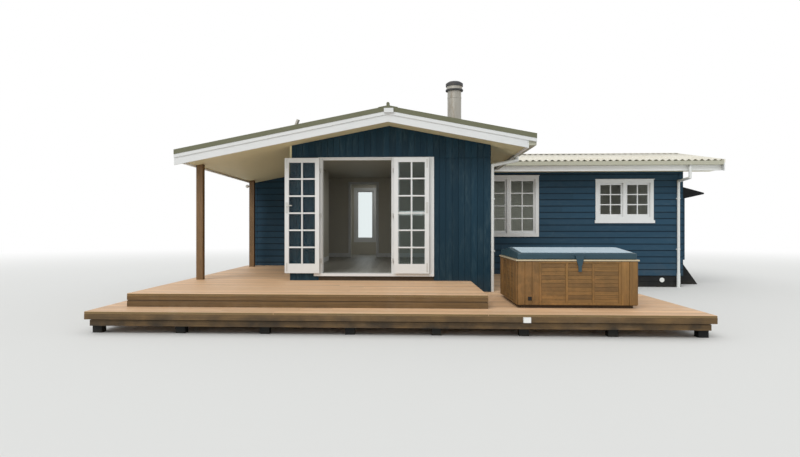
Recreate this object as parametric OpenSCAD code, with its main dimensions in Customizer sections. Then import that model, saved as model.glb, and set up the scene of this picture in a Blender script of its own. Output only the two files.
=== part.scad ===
// Single-storey timber beach house with a gabled front room, a side wing, a
// post-and-roof verandah, a two-level deck and a boarded spa tub on the deck.
// +X runs to the right along the front, +Y runs from the front to the back,
// +Z is up, and level ground is Z = 0. The origin is the middle of the footprint.

/* [Levels] */
// Top of the lower deck above the ground
lower_deck_top = 300; // [260:5:360]
// Rise from the lower deck to the upper deck
deck_rise = 185; // [150:5:200]
// Rise from the upper deck to the floor inside
floor_rise = 125; // [100:5:160]
// Bottom edge of the wall boards above the ground
wall_base = 275; // [230:5:300]
// Height of the ceiling above the floor
room_height = 2155; // [2080:5:2170]

/* [Front room] */
// Width of the front room
room_w = 3460; // [3300:10:3700]
// Depth of the front room, to the line of the wing's front wall
room_d = 4170; // [3800:10:4600]
// Thickness of the outside walls
wall_t = 110; // [90:5:140]
// Thickness of the inside partition
partition_t = 90; // [70:5:110]

/* [Back rooms and wing] */
// How far the back rooms reach to the left of the front room
left_reach = 1700; // [1500:10:1900]
// Length of the wing to the right of the front room
wing_w = 5070; // [4800:10:5400]
// Depth of the back rooms and the wing
back_d = 3660; // [3400:10:4000]
// Distance of the inside doorway from the left face of the front room
inner_door_x = 510; // [300:10:900]
// Width of the inside doorway
inner_door_w = 685; // [640:5:760]
// Height of the inside doorway
inner_door_h = 1980; // [1900:10:2040]

/* [Roof] */
// Height of the ridges above the ground
ridge_z = 3398; // [3380:1:3450]
// Distance of the front ridge from the left face of the front room
ridge_x = 1720; // [1650:5:1800]
// Fall of the front roof for each unit of its width
gable_slope = 0.194; // [0.19:0.001:0.2]
// Depth of the front roof from its sheets to the soffit boards
roof_depth = 258; // [240:2:270]
// Thickness of the roof sheets on their purlins
sheet_t = 40; // [30:2:50]
// Overhang of the front roof past the front wall
gable_overhang = 604; // [500:4:700]
// Overhang of the front roof past the right wall of the front room
right_eave = 522; // [480:2:580]
// Height of the top of the wing's roof at its eave
wing_eave_z = 2982; // [2960:1:3000]
// Overhang of the wing's roof past its front and back walls
wing_overhang = 500; // [450:5:560]
// Overhang of the wing's roof past its end wall
verge_overhang = 670; // [600:5:720]
// Thickness of the soffit lining
lining_t = 12; // [9:1:18]
// Thickness of the barge boards and the fascia boards
trim_t = 25; // [18:1:32]
// Height of the upper strip of the barge board
barge_strip_h = 57; // [40:1:70]
// Height of the lower strip of the barge board
barge_board_h = 122; // [100:1:140]
// Height of the folded roof edge above the barge boards
roof_edge_h = 79; // [60:1:90]
// Width of the gutters
gutter_w = 125; // [100:5:150]
// Height of the gutters
gutter_h = 90; // [75:5:110]
// Thickness of the gutter metal
gutter_t = 6; // [4:1:10]
// Size of the downpipes across
downpipe_w = 65; // [50:5:80]

/* [Front doors] */
// Distance of the door frame from the left face of the front room
frame_x = 489; // [450:1:560]
// Clear width between the door posts of the frame
door_opening_w = 1224; // [1150:2:1260]
// Clear height of the door opening
door_opening_h = 2006; // [1980:2:2040]
// Width of the frame members
frame_w = 60; // [45:1:70]
// Width of the fixed light beside the doors
sidelight_w = 568; // [520:2:600]
// Distance that the frame stands proud of the wall boards
frame_proud = 25; // [15:1:35]
// Depth of the frame through the wall
frame_d = 150; // [140:5:180]
// Thickness of the door leaves
leaf_t = 40; // [35:1:46]
// Gap round each door leaf
leaf_gap = 5; // [5:1:8]
// Gap between the meeting stiles of the two leaves
meeting_gap = 9; // [8:1:12]
// Width of the door stiles
stile_w = 72; // [60:1:90]
// Height of the top rail of a door leaf
top_rail_h = 78; // [70:1:95]
// Height of the bottom rail of a door leaf
bottom_rail_h = 162; // [150:2:200]
// Width of the glazing bars
bar_w = 22; // [18:1:30]
// Number of rows of panes in a door leaf
pane_rows = 6; // [4:1:7]
// Distance of the hinge pins beyond the edge of the leaf
pin_out = 20; // [18:1:26]
// Distance of the hinge pins in front of the leaf
pin_proud = 15; // [12:1:20]
// Radius of the hinge knuckles
knuckle_r = 9; // [7:1:10]
// Thickness of the glass
glass_t = 6; // [4:1:8]

/* [Windows] */
// Distance of the large window from the right face of the front room
large_x = 271; // [240:1:330]
// Width of the large window
large_w = 1453; // [1380:1:1480]
// Height of the sill of the large window above the ground
large_z = 1193; // [1150:1:1250]
// Height of the large window
large_h = 1460; // [1400:5:1480]
// Distance of the small window from the right face of the front room
small_x = 3058; // [2900:2:3300]
// Width of the small window
small_w = 1355; // [1300:1:1420]
// Height of the sill of the small window above the ground
small_z = 1585; // [1540:1:1600]
// Height of the small window
small_h = 967; // [940:1:1020]
// Width of the window frames
casing_w = 80; // [65:1:90]
// Width of the post between a window's two lights
mullion_w = 62; // [50:1:75]
// Width of the sash members
sash_w = 44; // [36:1:55]
// Thickness of the window sashes
sash_t = 38; // [30:1:45]
// Distance of the back window from the left face of the front room
back_window_x = 439; // [400:1:480]
// Width of the windows in the back wall
back_window_w = 1240; // [1150:10:1300]
// Height of the windows in the back wall
back_window_h = 1637; // [1550:1:1650]

/* [Decks] */
// Reach of the lower deck in front of the front room
lower_front = 2760; // [2600:10:3000]
// Reach of the lower deck to the left of the front room
lower_left = 2205; // [2150:1:2400]
// Reach of the lower deck to the right of the front room
lower_right = 2440; // [2300:10:2600]
// Reach of the upper deck in front of the front room
upper_front = 2250; // [2100:10:2400]
// Reach of the upper deck to the left of the front room
upper_left = 1870; // [1820:5:1950]
// Distance of the upper deck's right end from the front room's left face
upper_end = 3128; // [3000:1:3300]
// Thickness of the deck boards
board_t = 30; // [22:1:36]
// Width of the deck joists
joist_w = 50; // [45:5:60]
// Greatest spacing of the deck joists
joist_gap = 1250; // [900:50:1500]
// Thickness of the deck's edge boards
edge_t = 28; // [20:1:34]
// Depth of the second edge board of the lower deck
second_edge_h = 77; // [60:1:90]
// Gap between the two edge boards
edge_gap = 14; // [8:1:20]
// Setback of the second edge board of the lower deck
second_setback = 50; // [30:5:90]
// Size across of the piles
pile_w = 125; // [100:5:150]

/* [Verandah posts] */
// Size across of a post
post_w = 115; // [90:5:140]
// Distance of the front post behind the front wall's face
front_post_y = 25; // [20:5:300]
// Clearance of the back post from the back wall
back_post_gap = 420; // [200:10:600]

/* [Side porch] */
// Distance of the porch behind the wing's front wall
porch_y = 780; // [700:10:900]
// Width of the porch
porch_w = 1000; // [940:10:1100]
// Reach of the canopy from the end wall
canopy_reach = 890; // [800:10:950]
// Reach of the porch screen from the end wall
screen_reach = 420; // [350:10:500]
// Depth of the porch landing
landing_d = 330; // [300:10:400]
// Number of steps below the landing
porch_steps = 2; // [1:1:2]
// Width of the side door
side_door_w = 810; // [760:10:860]

/* [Flue and vent] */
// Outer radius of the flue
flue_r = 130; // [100:5:150]
// Wall of the flue
flue_t = 5; // [3:1:10]
// Distance of the flue from the left face of the front room
flue_x = 2924; // [2700:2:3100]
// Distance of the flue behind the front wall's face
flue_y = 1100; // [900:10:1500]
// Top of the flue above the ground
flue_top = 4130; // [3900:10:4200]
// Radius of the vent pipe
vent_r = 32; // [25:1:45]
// Length of the vent pipe
vent_len = 520; // [400:10:600]

/* [Spa tub] */
// Distance of the tub from the left face of the front room
tub_x = 3544; // [3510:2:3700]
// Reach of the tub's front in front of the front wall's face
tub_front = 2130; // [1900:10:2300]
// Width of the tub
tub_w = 1605; // [1500:5:1700]
// Depth of the tub from front to back
tub_d = 1450; // [1350:10:1550]
// Height of the tub's rim above the deck
tub_h = 665; // [600:5:750]
// Width of the tub's rim
tub_rim_w = 150; // [120:5:200]
// Depth of the tub's hollow
tub_depth = 560; // [480:10:580]
// Thickness of the cover at its edge
cover_edge_t = 90; // [60:5:100]
// Thickness of the cover at its middle fold
cover_mid_t = 145; // [105:5:150]

/* [Hidden] */
$fn = 32;
eps = 1;
seam = 0.3;

// Levels
upper_deck_top = lower_deck_top + deck_rise;
floor_top = upper_deck_top + floor_rise;
floor_t = 140;
ceiling_z = floor_top + room_height;

// Main lines of the plan
back_y = room_d + back_d;
wing_end_x = room_w + wing_w;
wing_ridge_y = room_d + back_d / 2;

// Roof planes
left_edge_x = -left_reach;
right_edge_x = room_w + right_eave;
gutter_reach = gutter_w + trim_t;
sheet_over = 60;
roof_front_y = -gable_overhang;
roof_back_y = back_y + wing_overhang;
wing_fascia_y = room_d - wing_overhang;
wing_back_fascia_y = back_y + wing_overhang;
wing_slope = (ridge_z - wing_eave_z) / (wing_ridge_y - wing_fascia_y);
verge_x = wing_end_x + verge_overhang;
soffit_rise = 28;
function gable_top(x) = ridge_z - gable_slope * abs(x - ridge_x);
soffit_depth = roof_depth - soffit_rise;
function gable_soffit(x) = gable_top(x) - soffit_depth;
function wing_top(y) = ridge_z - wing_slope * abs(y - wing_ridge_y);
function valley_x(y) = ridge_x + wing_slope * abs(wing_ridge_y - y) / gable_slope;
wing_soffit_rise = 6;
wing_soffit_z = gable_soffit(right_edge_x) + wing_soffit_rise;
flat_ceiling_x = ridge_x - (ridge_z - soffit_depth - ceiling_z) / gable_slope;
fascia_drop = 24;

// Door set
frame_front_y = -frame_proud;
opening_x0 = frame_x + frame_w;
opening_x1 = opening_x0 + door_opening_w;
sidelight_x0 = opening_x1 + frame_w;
sidelight_x1 = sidelight_x0 + sidelight_w;
end_post_w = 96;
frame_end_x = sidelight_x1 + end_post_w;
sill_h = 48;
sill_z = floor_top - sill_h;
leaf_z0 = floor_top + leaf_gap;
leaf_h = door_opening_h - 2 * leaf_gap;
head_z = floor_top + door_opening_h;
head_h = 10;
head_stop_h = 32;
leaf_w = (door_opening_w - 2 * leaf_gap - meeting_gap) / 2;
pin_y = frame_front_y - pin_proud;
left_pin_x = opening_x0 + leaf_gap - pin_out;
right_pin_x = opening_x1 - leaf_gap + pin_out;
hinge_in = 180;
knuckle_h = 36;
knuckle_gap = 0.3;
hinge_heights = [hinge_in, leaf_h / 2 - knuckle_h, leaf_h - hinge_in - 2 * knuckle_h];
hinge_pin_r = 4;
pin_clear = 0.3;
pin_head_h = 5;
web_in = 3;
web_t = 6;
stop_t = 12;
stop_gap = 5;
sidelight_stile_w = 66;
sidelight_rail_row = 3;
sidelight_rail_h = 77;

rebate = 8;
sill_horn = 22;
sill_drop = 68;
sash_foot_h = 62;
sash_y = 15;
joist_inset = 60;
first_edge_h = 74;
upper_edge_h = 60;
joist_z = lower_deck_top - board_t - first_edge_h - edge_gap - second_edge_h;
base_inset = 20;
base_t = 70;
threshold_back = 22;
sill_reach = 77;
sill_proud = 20;
side_door_h = 1980;
side_door_in = 95;
side_door_y = room_d + porch_y + side_door_in;
back_sill_h = 365;
back_window_z = floor_top + back_sill_h;
left_window_in = 570;
wing_window_back = 640;
end_window_in = 1000;
back_window_places = [
    left_window_in - left_reach, back_window_x, room_w - wing_window_back,
    wing_end_x - end_window_in - back_window_w
];
large_rows = 4;
small_rows = 3;
back_rows = 1;
wing_sheet_y = wing_fascia_y - sheet_over;
wing_verge_sides = [
    [wing_fascia_y - gutter_reach, wing_ridge_y - seam],
    [wing_ridge_y, wing_back_fascia_y + gutter_reach]
];
edge_wrap = 30;
edge_lip = 6;
cap_t = 8;
cap_reach = 160;
cap_roll_r = 27;
cap_roll_rise = 33;
cap_neck_w = 24;
strip_proud = 14;
apex_block_w = 154;
apex_block_h = 71;
apex_block_rise = 38;
apex_block_shift = 12;
gutter_fall = 76;
function gutter_level(x) = gable_top(x) - sheet_t - gutter_fall - gutter_h;
gable_gutter_z = gutter_level(right_edge_x + sheet_over);
gutter_drop = 6;
wing_gutter_z = wing_top(wing_sheet_y) - sheet_t - gutter_drop - gutter_h;
pipe_off = 8;
pipe_joint_lip = 2;
room_bend_z = 2480;
room_outlet_y = 850;
wing_pipe_in = 90;
wing_pipe_shift = 18;
wing_bend_z = 2505;
wing_neck_z = 2545;
post_inset = 10;
flue_skirt = 190;
flue_collar = 60;
flue_band_proud = 18;
flue_band_h = 25;
flue_cap_over = 32;
flue_cap_h = 50;
flue_strut_w = 20;
vent_x = -230;
vent_y = 1000;
vent_lean = 22;
strap_t = 7;
strap_len = 42;
lug_w = 8;
lock_z = 1037;
lever_up = 133;
plate_w = 38;
plate_h = 190;
plate_t = 4;
knob_r = 14;
knob_reach = 16;
lever_r = 8;
lever_out = 32;
lever_len = 105;
bolt_end = 30;
bolt_w = 22;
bolt_h = 150;
porch_going = 200;
stringer_t = 40;
stringer_back = 60;
stringer_drop = 260;
tread_t = 36;
screen_t = 40;
canopy_low_z = 2140;
canopy_edge_z = 2245;
canopy_edge_t = 35;
canopy_top_z = 2530;
tub_kick = 40;
tub_board_t = 30;
tub_rim_t = 20;
tub_lip = 26;
tub_seat_h = 250;
tub_seat_w = 330;
socket_proud = 48;
socket_w = 92;
socket_margin = 4;
light_reach = 60;
light_drop = 118;
light_r = 38;
light_face_r = 22;
light_stem_r = 14;

// Footprint and its middle
x_min = -lower_left;
x_max = wing_end_x + canopy_reach;
y_min = -lower_front - socket_proud;
y_max = wing_back_fascia_y + gutter_reach;
mid_x = (x_min + x_max) / 2;
mid_y = (y_min + y_max) / 2;

// Colours
timber = "#a07850";
deck_colour = "#c49a70";
navy = "#22405a";
wing_navy = "#33485f";
white_paint = "#e8e8e2";
cream = "#e9e2d0";
olive = "#7a7a58";
dark_base = "#1c1e20";
glass_tint = "#9fb4bd";
metal = "#9a9a98";

// Puts a piece on the plan, whose own zero is the left front corner of the room
module site() {
    translate([-mid_x, -mid_y, 0]) children();
}

// Box between two corners
module block(x0, x1, y0, y1, z0, z1) {
    translate([x0, y0, z0]) cube([x1 - x0, y1 - y0, z1 - z0]);
}

// Outline in X and Z, run from y0 to y1
module run_y(y0, y1) {
    translate([0, y1, 0]) rotate([90, 0, 0]) linear_extrude(y1 - y0) children();
}

// Outline in Y and Z, run from x0 to x1
module run_x(x0, x1) {
    translate([x0, 0, 0]) rotate([90, 0, 90]) linear_extrude(x1 - x0) children();
}

// Layer of one slope of the front roof, between two depths below its top
module gable_layer(x0, x1, y0, y1, upper, lower) {
    run_y(y0, y1) polygon([
        [x0, gable_top(x0) - lower], [x1, gable_top(x1) - lower],
        [x1, gable_top(x1) - upper], [x0, gable_top(x0) - upper]
    ]);
}

// Layer of one slope of the wing's roof, between two depths below its top
module wing_layer(x0, x1, y0, y1, upper, lower) {
    run_x(x0, x1) polygon([
        [y0, wing_top(y0) - lower], [y1, wing_top(y1) - lower],
        [y1, wing_top(y1) - upper], [y0, wing_top(y0) - upper]
    ]);
}

// Column over an outline in plan, taller than the roof
module plan_column(points) {
    linear_extrude(flue_top) polygon(points);
}

// Wall in an X and Z plane, cut to the underside of the front roof
module gable_wall(x0, x1, y0, y1, z0) {
    top = sheet_t + seam;
    through_ridge = x0 < ridge_x && x1 > ridge_x;
    peak = through_ridge ? [[ridge_x, gable_top(ridge_x) - top]] : [];
    run_y(y0, y1) polygon(concat(
        [[x0, z0], [x1, z0], [x1, gable_top(x1) - top]], peak, [[x0, gable_top(x0) - top]]
    ));
}

// Framed panel with glazing bars and a slot for its sheet of glass
module glazed_panel(w, h, t, stile, top, bottom, rows, deep_rail) {
    pane_pitch = (h - top - bottom + bar_w) / rows;
    difference() {
        union() {
            difference() {
                block(0, w, 0, t, 0, h);
                block(stile, w - stile, -eps, t + eps, bottom, h - top);
            }
            if (rows > 1) {
                block(w / 2 - bar_w / 2, w / 2 + bar_w / 2, 0, t, bottom - eps, h - top + eps);
                for (row = [1 : rows - 1]) {
                    extra = row == deep_rail ? (sidelight_rail_h - bar_w) / 2 : 0;
                    rail_z = bottom + row * pane_pitch - bar_w;
                    block(stile - eps, w - stile + eps, 0, t, rail_z - extra, rail_z + bar_w + extra);
                }
            }
        }
        panel_glass(w, h, t, stile, top, bottom);
    }
}

// Sheet of glass that fills the slot of a glazed panel
module panel_glass(w, h, t, stile, top, bottom) {
    block(
        stile - rebate, w - stile + rebate, (t - glass_t) / 2, (t + glass_t) / 2,
        bottom - rebate, h - top + rebate
    );
}

// Straight round pipe from one point to another
module pipe_run(a, b, r) {
    d = b - a;
    run = norm([d[0], d[1]]);
    translate(a) rotate([0, atan2(run, d[2]), atan2(d[1], d[0])]) cylinder(r = r, h = norm(d));
}

// Width of each of a window's two lights, and the distance of a light from the window's left
function light_w(w) = (w - 2 * casing_w - mullion_w) / 2;
function light_x(w, side) = casing_w + side * (light_w(w) + mullion_w);

// Casing and mullion of a window in a wall that faces -Y, from its lower left corner
module window_frame(w, h) {
    difference() {
        block(0, w, -frame_proud, wall_t, 0, h);
        for (side = [0, 1])
            translate([light_x(w, side), 0, 0])
                block(0, light_w(w), -frame_proud - eps, wall_t + eps, casing_w, h - casing_w);
    }
}

// Sill with horns below a window
module window_sill(w) {
    block(-sill_horn, w + sill_horn, -frame_proud - sill_horn, 0, -sill_drop, 0);
}

// Children at the lower left corner of each light of a window
module at_lights(w) {
    for (side = [0, 1])
        translate([light_x(w, side), sash_y, casing_w]) children();
}

// Both sashes of a window
module window_sashes(w, h, rows) {
    at_lights(w)
        glazed_panel(light_w(w), h - 2 * casing_w, sash_t, sash_w, sash_w, sash_foot_h, rows, 0);
}

// Glass of both sashes of a window
module window_panes(w, h) {
    at_lights(w)
        panel_glass(light_w(w), h - 2 * casing_w, sash_t, sash_w, sash_w, sash_foot_h);
}

// Children at the large window
module at_large_window() {
    translate([room_w + large_x, room_d, large_z]) children();
}

// Children at the small window
module at_small_window() {
    translate([room_w + small_x, room_d, small_z]) children();
}

// Children at each window of the back wall, turned to face +Y
module at_back_windows() {
    for (x = back_window_places)
        translate([x + back_window_w, back_y, back_window_z]) rotate(180) children();
}

// Hole that a window needs in its wall
module window_hole(w, h) {
    block(0, w, -eps, wall_t + eps, 0, h);
}

// Deck boards with their top at one level
module lower_deck() {
    color(deck_colour) site() {
        z0 = lower_deck_top - board_t;
        block(-lower_left, room_w + lower_right, -lower_front, 0, z0, lower_deck_top);
        block(-lower_left, -seam, seam, room_d, z0, lower_deck_top);
        block(room_w + seam, room_w + lower_right, seam, room_d, z0, lower_deck_top);
    }
}

module upper_deck() {
    color(deck_colour) site() {
        z0 = upper_deck_top - board_t;
        block(-upper_left, upper_end, -upper_front, 0, z0, upper_deck_top);
        block(-upper_left, -seam, seam, room_d, z0, upper_deck_top);
    }
}

// Row of joists under a rectangle of deck boards
module joist_row(x0, x1, y0, y1, z0, z1) {
    bays = ceil((x1 - x0 - joist_w) / joist_gap);
    pitch = (x1 - x0 - joist_w) / bays;
    for (i = [0 : bays])
        translate([x0 + i * pitch, y0, z0]) cube([joist_w, y1 - y0, z1 - z0]);
}

module deck_joists() {
    color(timber) site() {
        in = second_setback + edge_t;
        top = lower_deck_top - board_t;
        right = room_w + lower_right - in;
        joist_row(-lower_left + in, right, -lower_front + in, 0, joist_z, top);
        joist_row(-lower_left + in, -joist_inset, seam, room_d, joist_z, top);
        joist_row(room_w + joist_inset, right, seam, room_d, joist_z, top);
        upper = upper_deck_top - board_t;
        upper_in = edge_t;
        joist_row(-upper_left + upper_in, upper_end - upper_in, -upper_front + upper_in, 0,
            lower_deck_top, upper);
        joist_row(-upper_left + upper_in, -joist_inset, seam, room_d, lower_deck_top, upper);
    }
}

// Edge boards round the front and both ends of a deck
module edge_course(left, right, front, end_y, z0, z1, right_end_y) {
    block(-left, right, -front, -front + edge_t, z0, z1);
    block(-left, -left + edge_t, -front + edge_t + seam, end_y, z0, z1);
    block(right - edge_t, right, -front + edge_t + seam, right_end_y, z0, z1);
}

module deck_edges() {
    color(timber) site() {
        top = lower_deck_top - board_t;
        back = second_setback;
        right = room_w + lower_right;
        edge_course(lower_left, right, lower_front, room_d, top - first_edge_h, top, room_d);
        edge_course(lower_left - back, right - back, lower_front - back, room_d, joist_z,
            joist_z + second_edge_h, room_d);
        upper = upper_deck_top - board_t;
        edge_course(upper_left, upper_end, upper_front, room_d, upper - upper_edge_h, upper, 0);
        edge_course(upper_left, upper_end, upper_front, room_d, lower_deck_top,
            upper - upper_edge_h - edge_gap, 0);
    }
}

// Piles at both ends of each joist of a row
module pile_row(x0, x1, y_list, z1) {
    bays = ceil((x1 - x0 - joist_w) / joist_gap);
    pitch = (x1 - x0 - joist_w) / bays;
    for (i = [0 : bays])
        for (y = y_list)
            translate([x0 + i * pitch + joist_w / 2 - pile_w / 2, y - pile_w / 2, 0])
                cube([pile_w, pile_w, z1]);
}

module piles() {
    color(dark_base) site() {
        in = second_setback + edge_t;
        right = room_w + lower_right - in;
        pile_row(-lower_left + in, right, [-lower_front + in + pile_w, -pile_w], joist_z);
        pile_row(-lower_left + in, -joist_inset, [room_d / 3, room_d - pile_w], joist_z);
        pile_row(room_w + joist_inset, right, [room_d / 3, room_d - pile_w], joist_z);
        pile_row(wall_t + pile_w, room_w - wall_t - pile_w, [room_d / 3],
            floor_top - floor_t);
        pile_row(-left_reach + wall_t + pile_w, wing_end_x - wall_t - pile_w, [wing_ridge_y],
            floor_top - floor_t);
    }
}

// Dark boards between the ground and the wall boards
module base_boards() {
    color(dark_base) site() {
        a = base_inset;
        b = base_inset + base_t;
        left = -left_reach;
        block(a, room_w - a, a, b, 0, wall_base);
        block(a, b, b + seam, room_d + a - seam, 0, wall_base);
        block(room_w - b, room_w - a, b + seam, room_d + a - seam, 0, wall_base);
        block(left + a, b, room_d + a, room_d + b, 0, wall_base);
        block(room_w - b, wing_end_x - a, room_d + a, room_d + b, 0, wall_base);
        block(left + a, left + b, room_d + b + seam, back_y - b - seam, 0, wall_base);
        block(wing_end_x - b, wing_end_x - a, room_d + b + seam, back_y - b - seam, 0, wall_base);
        block(left + a, wing_end_x - a, back_y - b, back_y - a, 0, wall_base);
    }
}

module floor() {
    color(timber) site() {
        z0 = floor_top - floor_t;
        split_y = room_d + wall_t;
        block(wall_t, room_w - wall_t, wall_t, split_y - seam, z0, floor_top);
        block(-left_reach + wall_t, wing_end_x - wall_t, split_y, back_y - wall_t, z0, floor_top);
    }
}

module ceiling() {
    color(cream) site() {
        z1 = ceiling_z + lining_t;
        split_y = room_d + wall_t;
        block(wall_t, room_w - wall_t, wall_t, split_y - seam, ceiling_z, z1);
        left = wall_t - left_reach;
        run_y(split_y, back_y - wall_t) polygon([
            [left, gable_soffit(left)], [flat_ceiling_x, ceiling_z], [wing_end_x - wall_t, ceiling_z],
            [wing_end_x - wall_t, z1], [flat_ceiling_x, z1], [left, gable_soffit(left) + lining_t]
        ]);
    }
}

// Low wall under the doors, set back from the wall boards
module threshold_wall() {
    color(dark_base) site()
        block(frame_x, frame_end_x, threshold_back, wall_t, wall_base, sill_z);
}

module front_wall() {
    color(navy) site() {
        gable_wall(0, frame_x, 0, wall_t, wall_base);
        gable_wall(frame_end_x, room_w, 0, wall_t, wall_base);
    }
}

module front_gable() {
    color(navy) site()
        gable_wall(frame_x, frame_end_x, 0, wall_t, head_z + head_h);
}

module room_side_walls() {
    color(navy) site() {
        gable_wall(0, wall_t, wall_t, room_d, wall_base);
        gable_wall(room_w - wall_t, room_w, wall_t, room_d, wall_base);
    }
}

module verandah_wall() {
    color(navy) site()
        gable_wall(-left_reach, wall_t, room_d, room_d + wall_t, wall_base);
}

module left_end_wall() {
    color(navy) site()
        gable_wall(-left_reach, -left_reach + wall_t, room_d + wall_t, back_y - wall_t, wall_base);
}

module back_wall() {
    color(navy) site() difference() {
        top = sheet_t + seam;
        wing_part = wing_top(back_y) - top;
        run_y(back_y - wall_t, back_y) polygon([
            [-left_reach, wall_base], [wing_end_x, wall_base], [wing_end_x, wing_part],
            [valley_x(back_y), wing_part], [ridge_x, ridge_z - top],
            [-left_reach, gable_top(-left_reach) - top]
        ]);
        at_back_windows() window_hole(back_window_w, back_window_h);
    }
}

module wing_front_wall() {
    color(wing_navy) site() difference() {
        y1 = room_d + wall_t;
        top = sheet_t + seam;
        run_x(room_w - wall_t, wing_end_x) polygon([
            [room_d, wall_base], [y1, wall_base],
            [y1, wing_top(y1) - top], [room_d, wing_top(room_d) - top]
        ]);
        at_large_window() window_hole(large_w, large_h);
        at_small_window() window_hole(small_w, small_h);
    }
}

module wing_end_wall() {
    color(wing_navy) site() difference() {
        y0 = room_d + wall_t;
        y1 = back_y - wall_t;
        top = sheet_t + seam;
        run_x(wing_end_x - wall_t, wing_end_x) polygon([
            [y0, wall_base], [y1, wall_base], [y1, wing_top(y1) - top],
            [wing_ridge_y, ridge_z - top], [y0, wing_top(y0) - top]
        ]);
        block(wing_end_x - wall_t - eps, wing_end_x + eps, side_door_y, side_door_y + side_door_w,
            floor_top, floor_top + side_door_h);
    }
}

// Partition behind the front room, with a doorway
module partition() {
    color(cream) site() {
        y0 = wing_ridge_y - partition_t / 2;
        y1 = wing_ridge_y + partition_t / 2;
        door_x1 = inner_door_x + inner_door_w;
        left = wall_t - left_reach;
        run_y(y0, y1) polygon([
            [left, floor_top], [inner_door_x, floor_top], [inner_door_x, ceiling_z],
            [flat_ceiling_x, ceiling_z], [left, gable_soffit(left) - seam]
        ]);
        block(door_x1, room_w - wall_t, y0, y1, floor_top, ceiling_z);
        block(inner_door_x + seam, door_x1 - seam, y0, y1, floor_top + inner_door_h, ceiling_z);
    }
}

module door_frame() {
    color(white_paint) site() {
        y1 = frame_d - frame_proud;
        for (post = [[frame_x, opening_x0], [opening_x1, sidelight_x0], [sidelight_x1, frame_end_x]])
            block(post[0], post[1], frame_front_y, y1, floor_top, head_z - seam);
        block(frame_x, frame_end_x, frame_front_y, y1, head_z, head_z + head_h);
        block(frame_x - sill_reach, frame_end_x, frame_front_y - sill_proud, 0, sill_z,
            floor_top - seam);
        block(frame_x, frame_end_x, seam, wall_t, sill_z, floor_top - seam);
        stop_y = frame_front_y + leaf_t + stop_gap;
        stop_z = head_z - head_stop_h;
        block(opening_x0 + seam, opening_x0 + stop_t, stop_y, y1, floor_top, stop_z - seam);
        block(opening_x1 - stop_t, opening_x1 - seam, stop_y, y1, floor_top, stop_z - seam);
        block(opening_x0 + seam, opening_x1 - seam, stop_y, y1, stop_z, head_z - seam);
    }
}

module sidelight() {
    color(white_paint) site() at_sidelight()
        glazed_panel(sidelight_w, door_opening_h, leaf_t, sidelight_stile_w, top_rail_h,
            bottom_rail_h, pane_rows, sidelight_rail_row);
}

// Children at the lower left corner of the fixed light
module at_sidelight() {
    translate([sidelight_x0, 0, floor_top]) children();
}

// Children at a leaf that stands open, from its hinge edge, as if it were shut
module at_left_leaf() {
    translate([left_pin_x, pin_y, leaf_z0]) rotate(180) children();
}

module at_right_leaf() {
    translate([right_pin_x, pin_y, leaf_z0]) rotate(180) mirror([1, 0, 0]) children();
}

// Door leaf, from the hinge pin
module leaf() {
    translate([pin_out, pin_proud, 0])
        glazed_panel(leaf_w, leaf_h, leaf_t, stile_w, top_rail_h, bottom_rail_h, pane_rows, 0);
}

module leaf_glass() {
    translate([pin_out, pin_proud, 0])
        panel_glass(leaf_w, leaf_h, leaf_t, stile_w, top_rail_h, bottom_rail_h);
}

// Bored upper knuckles of the hinges on a leaf, each with a cranked strap
module leaf_hinges() {
    for (z = hinge_heights)
        translate([0, 0, z + knuckle_h + knuckle_gap]) {
            difference() {
                union() {
                    cylinder(r = knuckle_r, h = knuckle_h);
                    block(0, pin_out + strap_t, web_t / 2, 3 * web_t / 2, web_in, knuckle_h - web_in);
                }
                translate([0, 0, -eps])
                    cylinder(r = hinge_pin_r + pin_clear, h = knuckle_h + 2 * eps);
            }
            block(pin_out, pin_out + strap_len, pin_proud - strap_t, pin_proud, web_in,
                knuckle_h - web_in);
        }
}

// Plate, spindle and grip on the inner face, and a plate and knob on the outer face
module leaf_lock(grip) {
    x = pin_out + leaf_w - stile_w / 2;
    inner = pin_proud + leaf_t;
    translate([x - plate_w / 2, inner, lock_z]) cube([plate_w, plate_t, plate_h]);
    translate([x - plate_w / 2, pin_proud - plate_t, lock_z]) cube([plate_w, plate_t, plate_h]);
    translate([x, pin_proud - plate_t - knob_reach, lock_z + lever_up])
        rotate([-90, 0, 0]) cylinder(r = knob_r, h = knob_reach);
    if (grip) {
        z = lock_z + lever_up;
        translate([x, inner + plate_t, z]) rotate([-90, 0, 0]) cylinder(r = lever_r, h = lever_out);
        translate([x + lever_r, inner + plate_t + lever_out, z])
            rotate([0, -90, 0]) cylinder(r = lever_r, h = lever_len);
    }
    for (z = [bolt_end, leaf_h - bolt_end - bolt_h])
        translate([x - bolt_w / 2, inner, z]) cube([bolt_w, plate_t, bolt_h]);
}

module left_door() {
    color(white_paint) site() at_left_leaf() leaf();
}

module left_door_glass() {
    color(glass_tint, 0.4) site() at_left_leaf() leaf_glass();
}

module left_door_fittings() {
    color(metal) site() at_left_leaf() {
        leaf_hinges();
        leaf_lock(true);
    }
}

module right_door() {
    color(white_paint) site() at_right_leaf() leaf();
}

module right_door_glass() {
    color(glass_tint, 0.4) site() at_right_leaf() leaf_glass();
}

module right_door_fittings() {
    color(metal) site() at_right_leaf() {
        leaf_hinges();
        leaf_lock(false);
    }
}

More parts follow.
